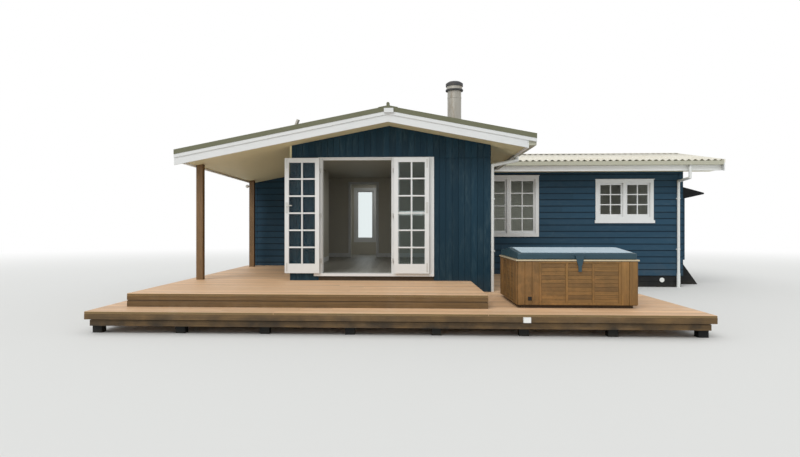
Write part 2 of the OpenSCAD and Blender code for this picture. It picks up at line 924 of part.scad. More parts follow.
// Lower knuckles of the hinges on the frame, each with the pin that its leaf turns on
module frame_hinges() {
    color(metal) site()
        for (x = [left_pin_x, right_pin_x])
            for (z = hinge_heights)
                translate([x, pin_y, leaf_z0 + z]) {
                    cylinder(r = knuckle_r, h = knuckle_h);
                    block(-lug_w / 2, lug_w / 2, 0, pin_proud, 0, knuckle_h - web_in);
                    cylinder(r = hinge_pin_r, h = 2 * (knuckle_h + knuckle_gap) + eps);
                    translate([0, 0, 2 * (knuckle_h + knuckle_gap)])
                        cylinder(r = knuckle_r, h = pin_head_h);
                }
}

module large_window() {
    color(white_paint) site() at_large_window() {
        window_frame(large_w, large_h);
        window_sashes(large_w, large_h, large_rows);
    }
}

module small_window() {
    color(white_paint) site() at_small_window() {
        window_frame(small_w, small_h);
        window_sill(small_w);
        window_sashes(small_w, small_h, small_rows);
    }
}

module back_windows() {
    color(white_paint) site() at_back_windows() {
        window_frame(back_window_w, back_window_h);
        window_sill(back_window_w);
        window_sashes(back_window_w, back_window_h, back_rows);
    }
}

module window_glass() {
    color(glass_tint, 0.4) site() {
        at_large_window() window_panes(large_w, large_h);
        at_small_window() window_panes(small_w, small_h);
        at_back_windows() window_panes(back_window_w, back_window_h);
        at_sidelight()
            panel_glass(sidelight_w, door_opening_h, leaf_t, sidelight_stile_w, top_rail_h,
                bottom_rail_h);
    }
}

// Sheets of the front roof, cut at both valleys
module front_roof() {
    color(olive) site() {
        y0 = roof_front_y + edge_wrap;
        y1 = roof_back_y - edge_wrap;
        x0 = left_edge_x - sheet_over;
        x1 = right_edge_x + sheet_over;
        gable_layer(x0, ridge_x - seam, y0, y1, 0, sheet_t);
        intersection() {
            gable_layer(ridge_x, x1, y0, y1, 0, sheet_t);
            plan_column([
                [ridge_x, y0], [x1, y0], [x1, wing_sheet_y], [valley_x(wing_sheet_y), wing_sheet_y],
                [ridge_x, wing_ridge_y - seam]
            ]);
        }
        intersection() {
            gable_layer(ridge_x, x1, y0, y1, 0, sheet_t);
            plan_column([[ridge_x, wing_ridge_y + seam], [valley_x(y1), y1], [ridge_x, y1]]);
        }
    }
}

module wing_roof() {
    color(cream) site() {
        x1 = verge_x - trim_t;
        back_sheet_y = 2 * wing_ridge_y - wing_sheet_y;
        intersection() {
            wing_layer(ridge_x, x1, wing_sheet_y, wing_ridge_y - seam, 0, sheet_t);
            plan_column([
                [valley_x(wing_sheet_y) + seam, wing_sheet_y], [x1, wing_sheet_y],
                [x1, wing_ridge_y], [ridge_x + seam, wing_ridge_y]
            ]);
        }
        intersection() {
            wing_layer(ridge_x, x1, wing_ridge_y, back_sheet_y, 0, sheet_t);
            plan_column([
                [ridge_x + seam, wing_ridge_y], [x1, wing_ridge_y], [x1, back_sheet_y],
                [valley_x(back_sheet_y) + seam, back_sheet_y]
            ]);
        }
    }
}

// Folded cap in outline, with its crest at the origin
module cap_fold(slope) {
    polygon([
        [-cap_reach, -slope * cap_reach], [0, 0], [cap_reach, -slope * cap_reach],
        [cap_reach, cap_t - slope * cap_reach], [0, cap_t],
        [-cap_reach, cap_t - slope * cap_reach]
    ]);
}

// Roll on its neck along the top of a cap, in outline
module cap_roll() {
    translate([-cap_neck_w / 2, 0]) square([cap_neck_w, cap_roll_rise]);
    translate([0, cap_roll_rise]) circle(r = cap_roll_r);
}

// Plan of the place where the wing's cap meets the front cap at a mitre
module cap_mitre(x0) {
    reach = cap_reach + eps;
    mitre = reach * gable_slope / wing_slope;
    plan_column([[x0, wing_ridge_y], [x0 + reach, wing_ridge_y - mitre],
        [x0 + reach, wing_ridge_y + mitre]]);
}

module ridge_caps() {
    base = ridge_z + seam;
    color(olive) site() {
        y0 = roof_front_y - cap_t;
        y1 = roof_back_y + cap_t;
        difference() {
            run_y(y0, y1) translate([ridge_x, base]) cap_fold(gable_slope);
            cap_mitre(ridge_x);
        }
        run_y(y0, y1) translate([ridge_x, base]) cap_roll();
    }
    color(cream) site() {
        start = ridge_x + seam;
        corner = start + cap_reach;
        intersection() {
            run_x(start + cap_neck_w / 2, corner)
                translate([wing_ridge_y, base]) cap_fold(wing_slope);
            cap_mitre(start);
        }
        run_x(corner, verge_x + cap_t) translate([wing_ridge_y, base]) cap_fold(wing_slope);
    }
}

// Both barge boards of one gable end of the front roof, between two planes in Y
module barge_pair(strip_y0, strip_y1, board_y0, board_y1, right_strip, right_board) {
    left = left_edge_x - gutter_reach;
    strip = roof_edge_h + barge_strip_h;
    for (side = [[left, ridge_x - seam], [ridge_x, right_strip]])
        gable_layer(side[0], side[1], strip_y0, strip_y1, roof_edge_h + seam, strip);
    for (side = [[left, ridge_x - seam], [ridge_x, right_board]])
        gable_layer(side[0], side[1], board_y0, board_y1, strip, strip + barge_board_h);
}

module barge_boards() {
    color(white_paint) site() {
        front = roof_front_y;
        board = front + strip_proud;
        barge_pair(front, board + trim_t, board, board + trim_t, right_edge_x + gutter_reach,
            right_edge_x);
        block_y = front - edge_lip - seam;
        block_x = ridge_x + apex_block_shift;
        block_top = ridge_z - roof_edge_h + apex_block_rise;
        block(block_x - apex_block_w / 2, block_x + apex_block_w / 2, block_y - trim_t, block_y,
            block_top - apex_block_h, block_top);
        back = roof_back_y;
        back_end = valley_x(roof_back_y);
        barge_pair(back - trim_t - strip_proud, back, back - strip_proud - trim_t,
            back - strip_proud, back_end, back_end);
        strip = roof_edge_h + barge_strip_h;
        for (side = wing_verge_sides)
            wing_layer(verge_x - trim_t, verge_x, side[0], side[1], roof_edge_h + seam,
                strip + barge_board_h);
    }
}

// Folded metal edges over the ends of the roof sheets
module roof_edges() {
    color(olive) site() {
        for (side = [[left_edge_x - gutter_reach, ridge_x - seam],
                     [ridge_x, right_edge_x + gutter_reach]])
            gable_layer(side[0], side[1], roof_front_y - edge_lip, roof_front_y + edge_wrap,
                0, roof_edge_h);
        for (side = [[left_edge_x - gutter_reach, ridge_x - seam],
                     [ridge_x, valley_x(roof_back_y - edge_wrap) - seam]])
            gable_layer(side[0], side[1], roof_back_y - edge_wrap, roof_back_y + edge_lip,
                0, roof_edge_h);
    }
    color(cream) site()
        for (side = wing_verge_sides)
            wing_layer(verge_x - trim_t, verge_x + edge_lip, side[0], side[1], 0, roof_edge_h);
}

module eave_fascias() {
    color(white_paint) site() {
        y0 = roof_front_y + strip_proud + trim_t;
        y1 = roof_back_y - strip_proud - trim_t;
        left = left_edge_x;
        right = right_edge_x;
        top = sheet_t + seam;
        gable_layer(left - trim_t, left, y0, y1, top, roof_depth);
        gable_layer(right, right + trim_t, y0, wing_fascia_y - trim_t - seam, top, roof_depth);
        wing_fascia_z = wing_top(wing_fascia_y) - top - trim_t * wing_slope;
        wing_end = verge_x - trim_t - seam;
        block(right + trim_t, wing_end, wing_fascia_y - trim_t, wing_fascia_y,
            wing_soffit_z - fascia_drop, wing_fascia_z);
        block(valley_x(roof_back_y), wing_end, wing_back_fascia_y, wing_back_fascia_y + trim_t,
            wing_soffit_z - fascia_drop, wing_fascia_z);
    }
}

module verandah_ceiling() {
    color(cream) site()
        gable_layer(left_edge_x, 0, roof_front_y + strip_proud + trim_t, room_d,
            soffit_depth - lining_t, soffit_depth);
}

module soffits() {
    color(cream) site() {
        front = roof_front_y + strip_proud + trim_t;
        upper = soffit_depth - lining_t;
        gable_layer(seam, ridge_x - seam, front, 0, upper, soffit_depth);
        gable_layer(ridge_x, room_w, front, 0, upper, soffit_depth);
        intersection() {
            gable_layer(room_w + seam, right_edge_x, front, room_d, upper, soffit_depth);
            plan_column([
                [room_w, front], [right_edge_x, front], [right_edge_x, wing_fascia_y],
                [room_w, room_d]
            ]);
        }
        translate([0, 0, wing_soffit_z]) linear_extrude(lining_t) polygon([
            [room_w, room_d], [right_edge_x + seam, wing_fascia_y],
            [verge_x - trim_t, wing_fascia_y], [verge_x - trim_t, room_d]
        ]);
        back_end = valley_x(roof_back_y);
        block(back_end, verge_x - trim_t, back_y, wing_back_fascia_y, wing_soffit_z,
            wing_soffit_z + lining_t);
        back = roof_back_y - strip_proud - trim_t;
        gable_layer(left_edge_x, ridge_x - seam, back_y, back, upper, soffit_depth);
        gable_layer(ridge_x, back_end - seam, back_y, back, upper, soffit_depth);
    }
}

// Gutter with stop ends, open at its top
module gutter(x0, x1, y0, y1, z0) {
    t = gutter_t;
    difference() {
        block(x0, x1, y0, y1, z0, z0 + gutter_h);
        block(x0 + t, x1 - t, y0 + t, y1 - t, z0 + t, z0 + gutter_h + eps);
    }
}

module gutters() {
    color(white_paint) site() {
        y0 = roof_front_y + strip_proud + trim_t;
        left = left_edge_x - gutter_reach;
        gutter(left, left + gutter_w, y0, roof_back_y - strip_proud - trim_t,
            gutter_level(left_edge_x - sheet_over));
        right = right_edge_x + trim_t;
        front = wing_fascia_y - gutter_reach;
        gutter(right, right + gutter_w, y0, front - seam, gable_gutter_z);
        wing_end = verge_x - trim_t - seam;
        gutter(right_edge_x + sheet_over + seam, wing_end, front, front + gutter_w, wing_gutter_z);
        back = wing_back_fascia_y + trim_t;
        gutter(valley_x(roof_back_y), wing_end, back, back + gutter_w, wing_gutter_z);
    }
}

// Pipe that rises, bends across under the soffit and ends upright under a gutter
module bent_pipe(foot, bend, outlet, neck_z, r) {
    neck = [outlet[0], outlet[1], neck_z];
    pipe_run(foot, bend, r);
    pipe_run(bend, neck, r);
    pipe_run(neck, outlet, r);
    for (joint = [bend, neck])
        translate(joint) sphere(r = r + pipe_joint_lip);
}

module downpipes() {
    color(white_paint) site() {
        r = downpipe_w / 2;
        front = [room_w + r + pipe_off, pipe_off + r, lower_deck_top];
        front_bend = [front[0], front[1], room_bend_z];
        front_outlet = [right_edge_x + trim_t + gutter_w / 2, room_outlet_y, gable_gutter_z];
        front_neck_z = gable_top(right_edge_x + trim_t) - roof_depth - r - pipe_off;
        bent_pipe(front, front_bend, front_outlet, front_neck_z, r);
        wing_x = wing_end_x - wing_pipe_in;
        wing_y = room_d - r - pipe_off;
        wing_bend = [wing_x, wing_y, wing_bend_z];
        wing_outlet = [wing_x + wing_pipe_shift, wing_fascia_y - trim_t - gutter_w / 2, wing_gutter_z];
        bent_pipe([wing_x, wing_y, 0], wing_bend, wing_outlet, wing_neck_z, r);
    }
}

module posts() {
    color(timber) site()
        for (y = [front_post_y, room_d - back_post_gap - post_w]) {
            x0 = left_edge_x + post_inset;
            x1 = x0 + post_w;
            run_y(y, y + post_w) polygon([
                [x0, upper_deck_top], [x1, upper_deck_top], [x1, gable_soffit(x1) - seam],
                [x0, gable_soffit(x0) - seam]
            ]);
        }
}

// Flue pipe with its flashing, bands and rain cap
module flue() {
    color(metal) site() translate([flue_x, flue_y, 0]) {
        base = gable_top(flue_x + flue_skirt) + seam;
        rise = 2 * flue_skirt * gable_slope;
        difference() {
            union() {
                translate([0, 0, base]) cylinder(r = flue_r, h = flue_top - base);
                translate([0, 0, base])
                    cylinder(r1 = flue_skirt, r2 = flue_r + flue_t, h = flue_skirt);
                translate([0, 0, flue_top - flue_collar])
                    cylinder(r = flue_r + flue_band_proud, h = flue_band_h);
            }
            translate([0, 0, base - eps])
                cylinder(r = flue_r - flue_t, h = flue_top - base + 2 * eps);
            run_y(-flue_skirt - eps, flue_skirt + eps)
                polygon([[flue_skirt, base], [-flue_skirt, base + rise], [-flue_skirt - eps, base - eps],
                    [flue_skirt, base - eps]]);
        }
        for (turn = [0 : 3])
            rotate(turn * 90)
                translate([flue_r - flue_t, -flue_strut_w / 2, flue_top - flue_collar / 2])
                    cube([flue_t, flue_strut_w, flue_collar]);
        translate([0, 0, flue_top + flue_collar / 2])
            cylinder(r = flue_r + flue_cap_over, h = flue_cap_h);
    }
}

module vent_pipe() {
    color(metal) site()
        difference() {
            translate([vent_x, vent_y, gable_top(vent_x)]) rotate([0, vent_lean, 0])
                translate([0, 0, -vent_r]) cylinder(r = vent_r, h = vent_len);
            gable_layer(vent_x - 2 * vent_r, vent_x + 2 * vent_r, vent_y - 2 * vent_r,
                vent_y + 2 * vent_r, -seam, 2 * vent_r);
        }
}

module side_door() {
    color(white_paint) site()
        block(wing_end_x - wall_t, wing_end_x - wall_t + leaf_t, side_door_y,
            side_door_y + side_door_w, floor_top, floor_top + side_door_h);
}

module porch_steps() {
    color(dark_base) site() {
        x0 = wing_end_x;
        y0 = room_d + porch_y;
        y1 = y0 + porch_w;
        rise = floor_top / (porch_steps + 1);
        top = floor_top - tread_t;
        run = porch_going * porch_steps;
        for (y = [y0, y1 - stringer_t])
            run_y(y, y + stringer_t) polygon([
                [x0, top], [x0 + landing_d, top], [x0 + landing_d + run, 0],
                [x0 + landing_d - stringer_back, 0], [x0, floor_top - stringer_drop]
            ]);
        block(x0, x0 + landing_d, y0, y1, top, floor_top);
        for (i = [1 : porch_steps]) {
            z = floor_top - i * rise;
            nose = x0 + landing_d + run * (1 - z / top);
            block(nose - porch_going, nose, y0 + stringer_t, y1 - stringer_t, z - tread_t, z);
        }
    }
}

module porch_screen() {
    color(wing_navy) site()
        block(wing_end_x, wing_end_x + screen_reach, room_d + porch_y, room_d + porch_y + screen_t,
            floor_top, canopy_low_z);
}

// Sloping canopy over the side door
module porch_canopy() {
    color(dark_base) site()
        run_y(room_d + porch_y, room_d + porch_y + porch_w) polygon([
            [wing_end_x, canopy_low_z], [wing_end_x + screen_reach, canopy_low_z],
            [wing_end_x + canopy_reach, canopy_edge_z],
            [wing_end_x + canopy_reach, canopy_edge_z + canopy_edge_t],
            [wing_end_x, canopy_top_z]
        ]);
}

// Boarded cabinet of the spa tub
module tub_cabinet() {
    color(timber) site() at_tub() {
        in = tub_kick;
        wall = tub_board_t;
        block(in, tub_w - in, in, tub_d - in, 0, tub_kick);
        difference() {
            block(0, tub_w, 0, tub_d, tub_kick, tub_h - tub_rim_t);
            block(wall, tub_w - wall, wall, tub_d - wall, tub_kick + wall, tub_h);
        }
    }
}

// Moulded shell with its rim and seat
module tub_shell() {
    color(cream) site() at_tub() {
        lip = tub_lip;
        in = tub_rim_w;
        low = tub_h - tub_depth;
        wall = tub_board_t;
        difference() {
            union() {
                block(-lip, tub_w + lip, -lip, tub_d + lip, tub_h - tub_rim_t, tub_h);
                block(in - wall, tub_w - in + wall, in - wall, tub_d - in + wall, low - wall,
                    tub_h - tub_rim_t + eps);
            }
            block(in, tub_w - in, in, tub_d - in, low + tub_seat_h, tub_h + eps);
            block(in + tub_seat_w, tub_w - in - tub_seat_w, in + tub_seat_w,
                tub_d - in - tub_seat_w, low, tub_h);
        }
    }
}

// Cover in two halves that fall from the middle fold to the edges
module tub_cover() {
    color("#2f4f5e") site() at_tub() {
        z0 = tub_h;
        for (half = [[0, tub_d / 2 - seam], [tub_d / 2, tub_d]]) {
            first = half[0] == 0;
            run_x(0, tub_w) polygon([
                [half[0], z0], [half[1], z0],
                [half[1], z0 + (first ? cover_mid_t : cover_edge_t)],
                [half[0], z0 + (first ? cover_edge_t : cover_mid_t)]
            ]);
        }
    }
}

// Children at the tub's front left corner, at the level of the deck
module at_tub() {
    translate([tub_x, -tub_front, lower_deck_top]) children();
}

module deck_socket() {
    color(white_paint) site()
        block(tub_x - socket_w / 2, tub_x + socket_w / 2, -lower_front - socket_proud,
            -lower_front, lower_deck_top - board_t - first_edge_h + socket_margin,
            lower_deck_top - board_t - socket_margin);
}

module verandah_light() {
    color(white_paint) site() {
        y = room_d - back_post_gap - post_w / 2;
        x = left_edge_x + post_inset;
        translate([x - light_reach, y, gable_soffit(x) - light_drop]) rotate([0, 90, 0]) {
            cylinder(r = light_stem_r, h = light_reach);
            translate([0, 0, -light_r]) cylinder(r1 = light_face_r, r2 = light_r, h = light_r / 2);
            translate([0, 0, -light_r / 2]) cylinder(r = light_r, h = light_r);
            translate([0, 0, light_r / 2]) cylinder(r1 = light_r, r2 = light_stem_r, h = light_r / 2);
        }
    }
}

lower_deck();
upper_deck();
deck_joists();
deck_edges();
piles();
base_boards();
floor();
threshold_wall();
front_wall();
front_gable();
room_side_walls();
verandah_wall();
left_end_wall();
back_wall();
wing_front_wall();
wing_end_wall();
partition();
ceiling();
door_frame();
sidelight();
frame_hinges();
left_door();
left_door_glass();
left_door_fittings();
right_door();
right_door_glass();
right_door_fittings();
large_window();
small_window();
back_windows();
window_glass();
front_roof();
wing_roof();
ridge_caps();
barge_boards();
roof_edges();
eave_fascias();
verandah_ceiling();
soffits();
gutters();
downpipes();
posts();
flue();
vent_pipe();
side_door();
porch_steps();
porch_screen();
porch_canopy();
tub_cabinet();
tub_shell();
tub_cover();
deck_socket();
verandah_light();
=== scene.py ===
"""Looks of a beach house: boards, roofing, glazing, decking, spa tub and finishes."""

import math
import random

import bmesh
import bpy
from mathutils import Matrix, Vector


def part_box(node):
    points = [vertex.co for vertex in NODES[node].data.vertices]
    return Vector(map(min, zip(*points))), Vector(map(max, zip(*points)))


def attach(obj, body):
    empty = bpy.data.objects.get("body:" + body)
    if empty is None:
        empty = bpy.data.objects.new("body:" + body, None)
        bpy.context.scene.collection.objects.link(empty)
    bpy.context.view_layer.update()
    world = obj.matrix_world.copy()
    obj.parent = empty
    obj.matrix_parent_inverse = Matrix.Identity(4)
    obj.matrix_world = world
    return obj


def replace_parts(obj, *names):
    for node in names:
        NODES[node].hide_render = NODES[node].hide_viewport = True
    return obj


bl_info = {
    "name": "Beach house looks",
    "version": (1, 0, 0),
    "blender": (4, 5, 0),
    "location": "View3D > Sidebar > Beach house",
    "description": "Dresses a timber beach house with boards, roofing, decking and finishes",
    "category": "Object",
}

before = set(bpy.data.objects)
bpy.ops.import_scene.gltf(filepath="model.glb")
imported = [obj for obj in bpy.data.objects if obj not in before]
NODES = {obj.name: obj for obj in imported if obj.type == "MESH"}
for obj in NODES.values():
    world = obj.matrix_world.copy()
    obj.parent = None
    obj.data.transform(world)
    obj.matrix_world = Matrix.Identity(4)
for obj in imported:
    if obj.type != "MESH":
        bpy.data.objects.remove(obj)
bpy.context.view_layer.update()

# Left front corner of the front room on the ground: plan distances below start here
CORNER = Vector((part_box("front_wall")[0].x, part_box("front_wall")[0].y, 0.0))
ROOM_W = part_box("front_wall")[1].x - CORNER.x
ROOM_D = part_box("wing_front_wall")[0].y - CORNER.y
WING_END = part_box("wing_end_wall")[1].x - CORNER.x
LEFT_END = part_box("left_end_wall")[0].x - CORNER.x
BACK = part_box("back_wall")[1].y - CORNER.y
WALL_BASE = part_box("front_wall")[0].z
WALL_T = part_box("front_wall")[1].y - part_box("front_wall")[0].y
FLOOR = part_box("floor")[1].z
CEILING_T = 0.012
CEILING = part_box("ceiling")[1].z - CEILING_T
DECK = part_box("lower_deck")[1].z

# Roof planes: height and place of both ridges, fall per metre, and depths below the top
RIDGE = 3.398
RIDGE_X = 1.72
GABLE_FALL = 0.194
WING_RIDGE_Y = 6.0
WING_RUN = 2.33
WING_FALL = 0.416 / WING_RUN
SOFFIT_DEPTH = 0.23
ROOF_T = 0.04
SHEET_OVER = 0.06

# Where the back wall's boards pass from the wing to the gable, and the boards' upper ends
BACK_SPLIT = 3.864
WING_TOP = 2.735
VERANDAH_TOP = 2.9
LEFT_TOP = 2.6
LEFT_CORNER_TOP = 2.44

# Sides and height of the inner doorway
DOORWAY = (0.51, 1.195)
DOORWAY_H = 1.98

# Door sill's reach to the left of the frame, and window members
SILL_REACH = 0.077
SILL_HORN = 0.022
SILL_H = 0.068
CASING = 0.08
MULLION = 0.062
SASH = 0.044
SASH_FOOT = 0.062
BAR = 0.022

# Corner boards of the wing and the back rooms, and the clearance of boards from what they meet
CORNER_W = 0.094
CORNER_T = 0.024
CLEAR = 0.02

# Deck: lengths of the first and the other boards of a row, the shortest end, the gap to the walls and
# the start of the boards beside them, half of a butt joint, the rim joists, and how far the screws
# stand in from a board's end and sides
FIRST_BOARD = (1.6, 4.4)
NEXT_BOARD = (2.4, 4.8)
END_BOARD = 0.8
DECK_GAP = 0.002
DECK_START = 0.003
HALF_BUTT = 0.001
RIM_T = 0.02
SCREW_IN_END = 0.03
SCREW_IN_SIDE = 0.028
SCREW_R = 0.005
SCREW_RISE = 0.0004

# Weatherboards: a wall longer than this has a butt joint in each course, which is so wide
LONG_WALL = 3.5
BUTT = 0.0015

# How much shorter the flue is than its CAD node, as in the photograph
FLUE_SHORTER = 0.03

# Section of the gutter, and a downpipe's middle from the wall
GUTTER_H = 0.09
GUTTER_T = 0.006
PIPE_OUT = 0.0405

# Tints from -1 to 1 vary the boards. Lower ones darken screws and edges and take some blue away.
SCREW_TINT = -3.0
EDGE_TINT = -4.6
BLUE_LOSS = 0.04

# Camera of the photograph: focal length and middle in pixels, place, and turn to the left
PHOTO_W = 800
FOCAL_PX = 606.05
MIDDLE_PX = 376.9
CAMERA_AT = (2.025, -10.518, 1.389)
CAMERA_TURN = 0.049

# Slot of each finish, and the CAD nodes that wear it
FINISHES = {
    "Deck tops": ("deck_boards", ["lower_deck", "upper_deck"]),
    "Deck edges": ("deck_boards", ["deck_edges"]),
    "Joist timber": ("framing_timber", ["deck_joists"]),
    "Inside floor": ("framing_timber", ["floor"]),
    "Dark base": ("dark_timber", ["piles", "base_boards", "porch_steps", "porch_canopy"]),
    "Threshold timber": ("dark_timber", ["threshold_wall"]),
    "Navy uprights": ("navy_boards", ["front_wall", "front_gable", "room_side_walls"]),
    "Navy weatherboards": (
        "wing_boards",
        ["verandah_wall", "left_end_wall", "back_wall", "wing_front_wall", "wing_end_wall", "porch_screen"],
    ),
    "Inside lining": ("inside_lining", ["partition", "ceiling"]),
    "White joinery": (
        "white_joinery",
        [
            "door_frame",
            "sidelight",
            "left_door",
            "right_door",
            "large_window",
            "small_window",
            "back_windows",
            "side_door",
        ],
    ),
    "Satin steel": ("door_hardware", ["frame_hinges", "left_door_fittings", "right_door_fittings"]),
    "Clear glass": ("clear_glass", ["left_door_glass", "right_door_glass", "window_glass"]),
    "Olive roofing": ("olive_roofing", ["front_roof"]),
    "Roof folds": ("olive_roofing", ["roof_edges", "ridge_caps"]),
    "Cream roofing": ("cream_roofing", ["wing_roof"]),
    "White trim": ("white_trim", ["barge_boards"]),
    "Fascia paint": ("white_trim", ["eave_fascias"]),
    "Soffit paint": ("soffit_lining", ["verandah_ceiling", "soffits"]),
    "Gutter paint": ("gutter_metal", ["gutters"]),
    "White pipe": ("gutter_metal", ["downpipes"]),
    "Post timber": ("post_timber", ["posts"]),
    "Flue metal": ("flue_metal", ["flue", "vent_pipe"]),
    "Flue cap": ("flue_metal", []),
    # The tub's cabinet wears painted shade, dark behind the gaps between its boards
    "Shaded tub backing": ("tub_timber", ["tub_cabinet"]),
    "Upright cedar": ("tub_timber", []),
    "Level cedar": ("tub_timber", []),
    "Tub acrylic": ("tub_shell", ["tub_shell"]),
    "Cover vinyl": ("cover_vinyl", ["tub_cover"]),
    "Cover top sheen vinyl": ("cover_vinyl", []),
    "White plastic": ("white_plastic", ["deck_socket", "verandah_light"]),
}


def place(x, y, z):
    """Point of the plan, in metres from the room's left front corner, in the frame."""
    return CORNER + Vector((x, y, z))


def gable_top(x):
    """Height of the front roof's top at a distance along the front."""
    return RIDGE - GABLE_FALL * abs(x - RIDGE_X)


def wing_top(y):
    """Height of the wing roof's top at a distance from the front wall."""
    return RIDGE - WING_FALL * abs(y - WING_RIDGE_Y)


def plan_box(node):
    """Box of a CAD node as plan distances: x0, x1, y0, y1, z0, z1."""
    low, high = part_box(node)
    a, b = low - CORNER, high - CORNER
    return a.x, b.x, a.y, b.y, a.z, b.z


def window_hole(node):
    """Casing of a window, without the horns and the height of its sill: x0, x1, z0, z1."""
    x0, x1, _, _, z0, z1 = plan_box(node)
    if node == "small_window":
        return x0 + SILL_HORN, x1 - SILL_HORN, z0 + SILL_H, z1
    return x0, x1, z0, z1


def back_windows():
    """Holes of the windows in the back wall, from the outer corners of their casings."""
    low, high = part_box("back_windows")
    tops = [v for v in NODES["back_windows"].data.vertices if abs(v.co.z - high.z) < 0.001]
    edges = sorted({round(v.co.x - CORNER.x, 3) for v in tops})
    return [(a, b, low.z + SILL_H, high.z) for a, b in zip(edges[::2], edges[1::2])]


def turned(holes):
    """Holes as a wall that runs the other way measures them."""
    return [(-b, -a, c, d) for a, b, c, d in holes]


def linear(text):
    """Linear colour of a colour written as six hex digits."""
    out = []
    for i in (0, 2, 4):
        c = int(text[i : i + 2], 16) / 255
        out.append(c / 12.92 if c <= 0.04045 else ((c + 0.055) / 1.055) ** 2.4)
    return tuple(out)


def colour_prop(name, text, description):
    """Property for a paint or timber colour."""
    return bpy.props.FloatVectorProperty(
        name=name,
        description=description,
        default=linear(text),
        size=3,
        min=0.0,
        max=1.0,
        subtype="COLOR",
    )


def size_prop(name, value, description):
    """Property for a size in metres."""
    return bpy.props.FloatProperty(
        name=name,
        description=description,
        default=value,
        min=0.0005,
        soft_max=2.0,
        precision=4,
        subtype="DISTANCE",
        unit="LENGTH",
    )


class HouseColours(bpy.types.PropertyGroup):
    """Colours of the paints, timbers, sheets and fittings."""

    navy: colour_prop("Navy", "163342", "Upright boards of the front room")
    wing_navy: colour_prop("Wing navy", "284558", "Weatherboards of the wing and the back rooms")
    white: colour_prop("White", "e5e7e6", "Door leaves, windows and barge boards")
    olive: colour_prop("Olive", "676850", "Front roof and its folded edges")
    cream: colour_prop("Cream", "dcd8ca", "Sheets of the wing's roof")
    soffit: colour_prop("Soffit", "dad3ac", "Linings under the eaves and over the verandah")
    gutter: colour_prop("Gutter", "b3b29f", "Gutters")
    deck: colour_prop("Deck", "d8b189", "Tops of the deck boards")
    riser: colour_prop("Deck edge", "70552e", "Edge boards of the decks")
    post: colour_prop("Post", "775a36", "Verandah posts")
    cedar: colour_prop("Cedar", "7c5b2b", "Boards of the spa tub")
    cover: colour_prop("Cover", "213f4b", "Skirts and edges of the tub's cover")
    # Painted sheen: the cover's top is painted far paler than its edges, standing in for the sky's sheen on
    # it
    cover_top_sheen: colour_prop("Cover top", "abbfca", "Faded top of the tub's cover")
    dark: colour_prop("Dark base", "17191b", "Base boards, piles and porch")
    lining: colour_prop("Lining", "c9c5b8", "Inside walls and ceiling")
    inside_floor: colour_prop("Inside floor", "8e8c84", "Floor boards inside")
    flue: colour_prop("Flue", "aaa79e", "Flue and vent pipe")
    steel: colour_prop("Steel", "cacac5", "Hinges, locks and bolts")


class HouseSizes(bpy.types.PropertyGroup):
    """Sizes of the boards, sheets and small parts."""

    weatherboard: size_prop("Weatherboard cover", 0.151, "Height that each weatherboard shows")
    board_foot: size_prop("Weatherboard foot", 0.023, "Thickness of a weatherboard at its foot")
    board_head: size_prop("Weatherboard head", 0.006, "Thickness of a weatherboard at its head")
    upright: size_prop("Upright board", 0.109, "Spacing of the upright boards")
    upright_t: size_prop("Upright thickness", 0.014, "Thickness of the upright boards")
    upright_gap: size_prop("Upright groove", 0.005, "Groove between two upright boards")
    deck_board: size_prop("Deck board", 0.140, "Width of a deck board")
    deck_gap: size_prop("Deck gap", 0.005, "Gap between two deck boards")
    wave: size_prop("Roofing pitch", 0.146, "Distance between two crests of the roofing")
    wave_depth: size_prop("Roofing depth", 0.034, "Depth of the roofing from crest to trough")
    sheet_t: size_prop("Roofing thickness", 0.005, "Thickness of a roofing sheet")
    slat: size_prop("Tub slat", 0.052, "Height of a slat in the tub's panels")
    lining_t: size_prop("Inside lining", 0.009, "Thickness of the inside lining")


def colours():
    """The scene's colours."""
    return bpy.context.scene.house_colours


def sizes():
    """The scene's sizes."""
    return bpy.context.scene.house_sizes


# Mesh helpers


def new_bmesh():
    """Empty bmesh with a tint for each face."""
    bm = bmesh.new()
    bm.faces.layers.float.new("tint")
    return bm


def set_tint(bm, verts, tint):
    """Gives the faces round some vertices their tint."""
    layer = bm.faces.layers.float["tint"]
    for face in {f for v in verts for f in v.link_faces}:
        face[layer] = tint


def slab(bm, x0, x1, y0, y1, z0, z1, tint=0.0):
    """Box between two corners of the plan, with a tint for its boards."""
    size = Matrix.Diagonal((x1 - x0, y1 - y0, z1 - z0, 1.0))
    centre = place((x0 + x1) / 2, (y0 + y1) / 2, (z0 + z1) / 2)
    made = bmesh.ops.create_cube(bm, size=1.0, matrix=Matrix.Translation(centre) @ size)
    set_tint(bm, made["verts"], tint)
    return made["verts"]


def slabs(bm, *rows):
    """One box for each row of corners."""
    for row in rows:
        slab(bm, *row)


def ring(bm, x, y, radius, z0, z1, upper=None):
    """Closed round band, disc or cone."""
    made = bmesh.ops.create_cone(
        bm,
        cap_ends=True,
        segments=40,
        radius1=radius,
        radius2=upper or radius,
        depth=z1 - z0,
        matrix=Matrix.Translation(place(x, y, (z0 + z1) / 2)),
    )
    return made["verts"]


def soften(bm, width, segments=1):
    """Rounds the edges that are sharper than 30 degrees."""
    edges = [e for e in bm.edges if e.is_manifold and e.calc_face_angle(0.0) > 0.5]
    bmesh.ops.bevel(
        bm,
        geom=edges,
        offset=width,
        segments=segments,
        affect="EDGES",
        profile=0.5,
        material=-1,
        clamp_overlap=True,
    )


def cut_off(bm, point, normal):
    """Cuts a mesh at a plane and keeps what is behind it."""
    geom = bm.verts[:] + bm.edges[:] + bm.faces[:]
    return bmesh.ops.bisect_plane(bm, geom=geom, plane_co=point, plane_no=normal, clear_outer=True)


def keep_below(bm, point, normal):
    """Cuts a closed mesh at a plane, keeps what is behind it and closes the cut."""
    cut = cut_off(bm, point, normal)
    edges = [e for e in cut["geom_cut"] if isinstance(e, bmesh.types.BMEdge)]
    if edges:
        bmesh.ops.edgeloop_fill(bm, edges=edges)


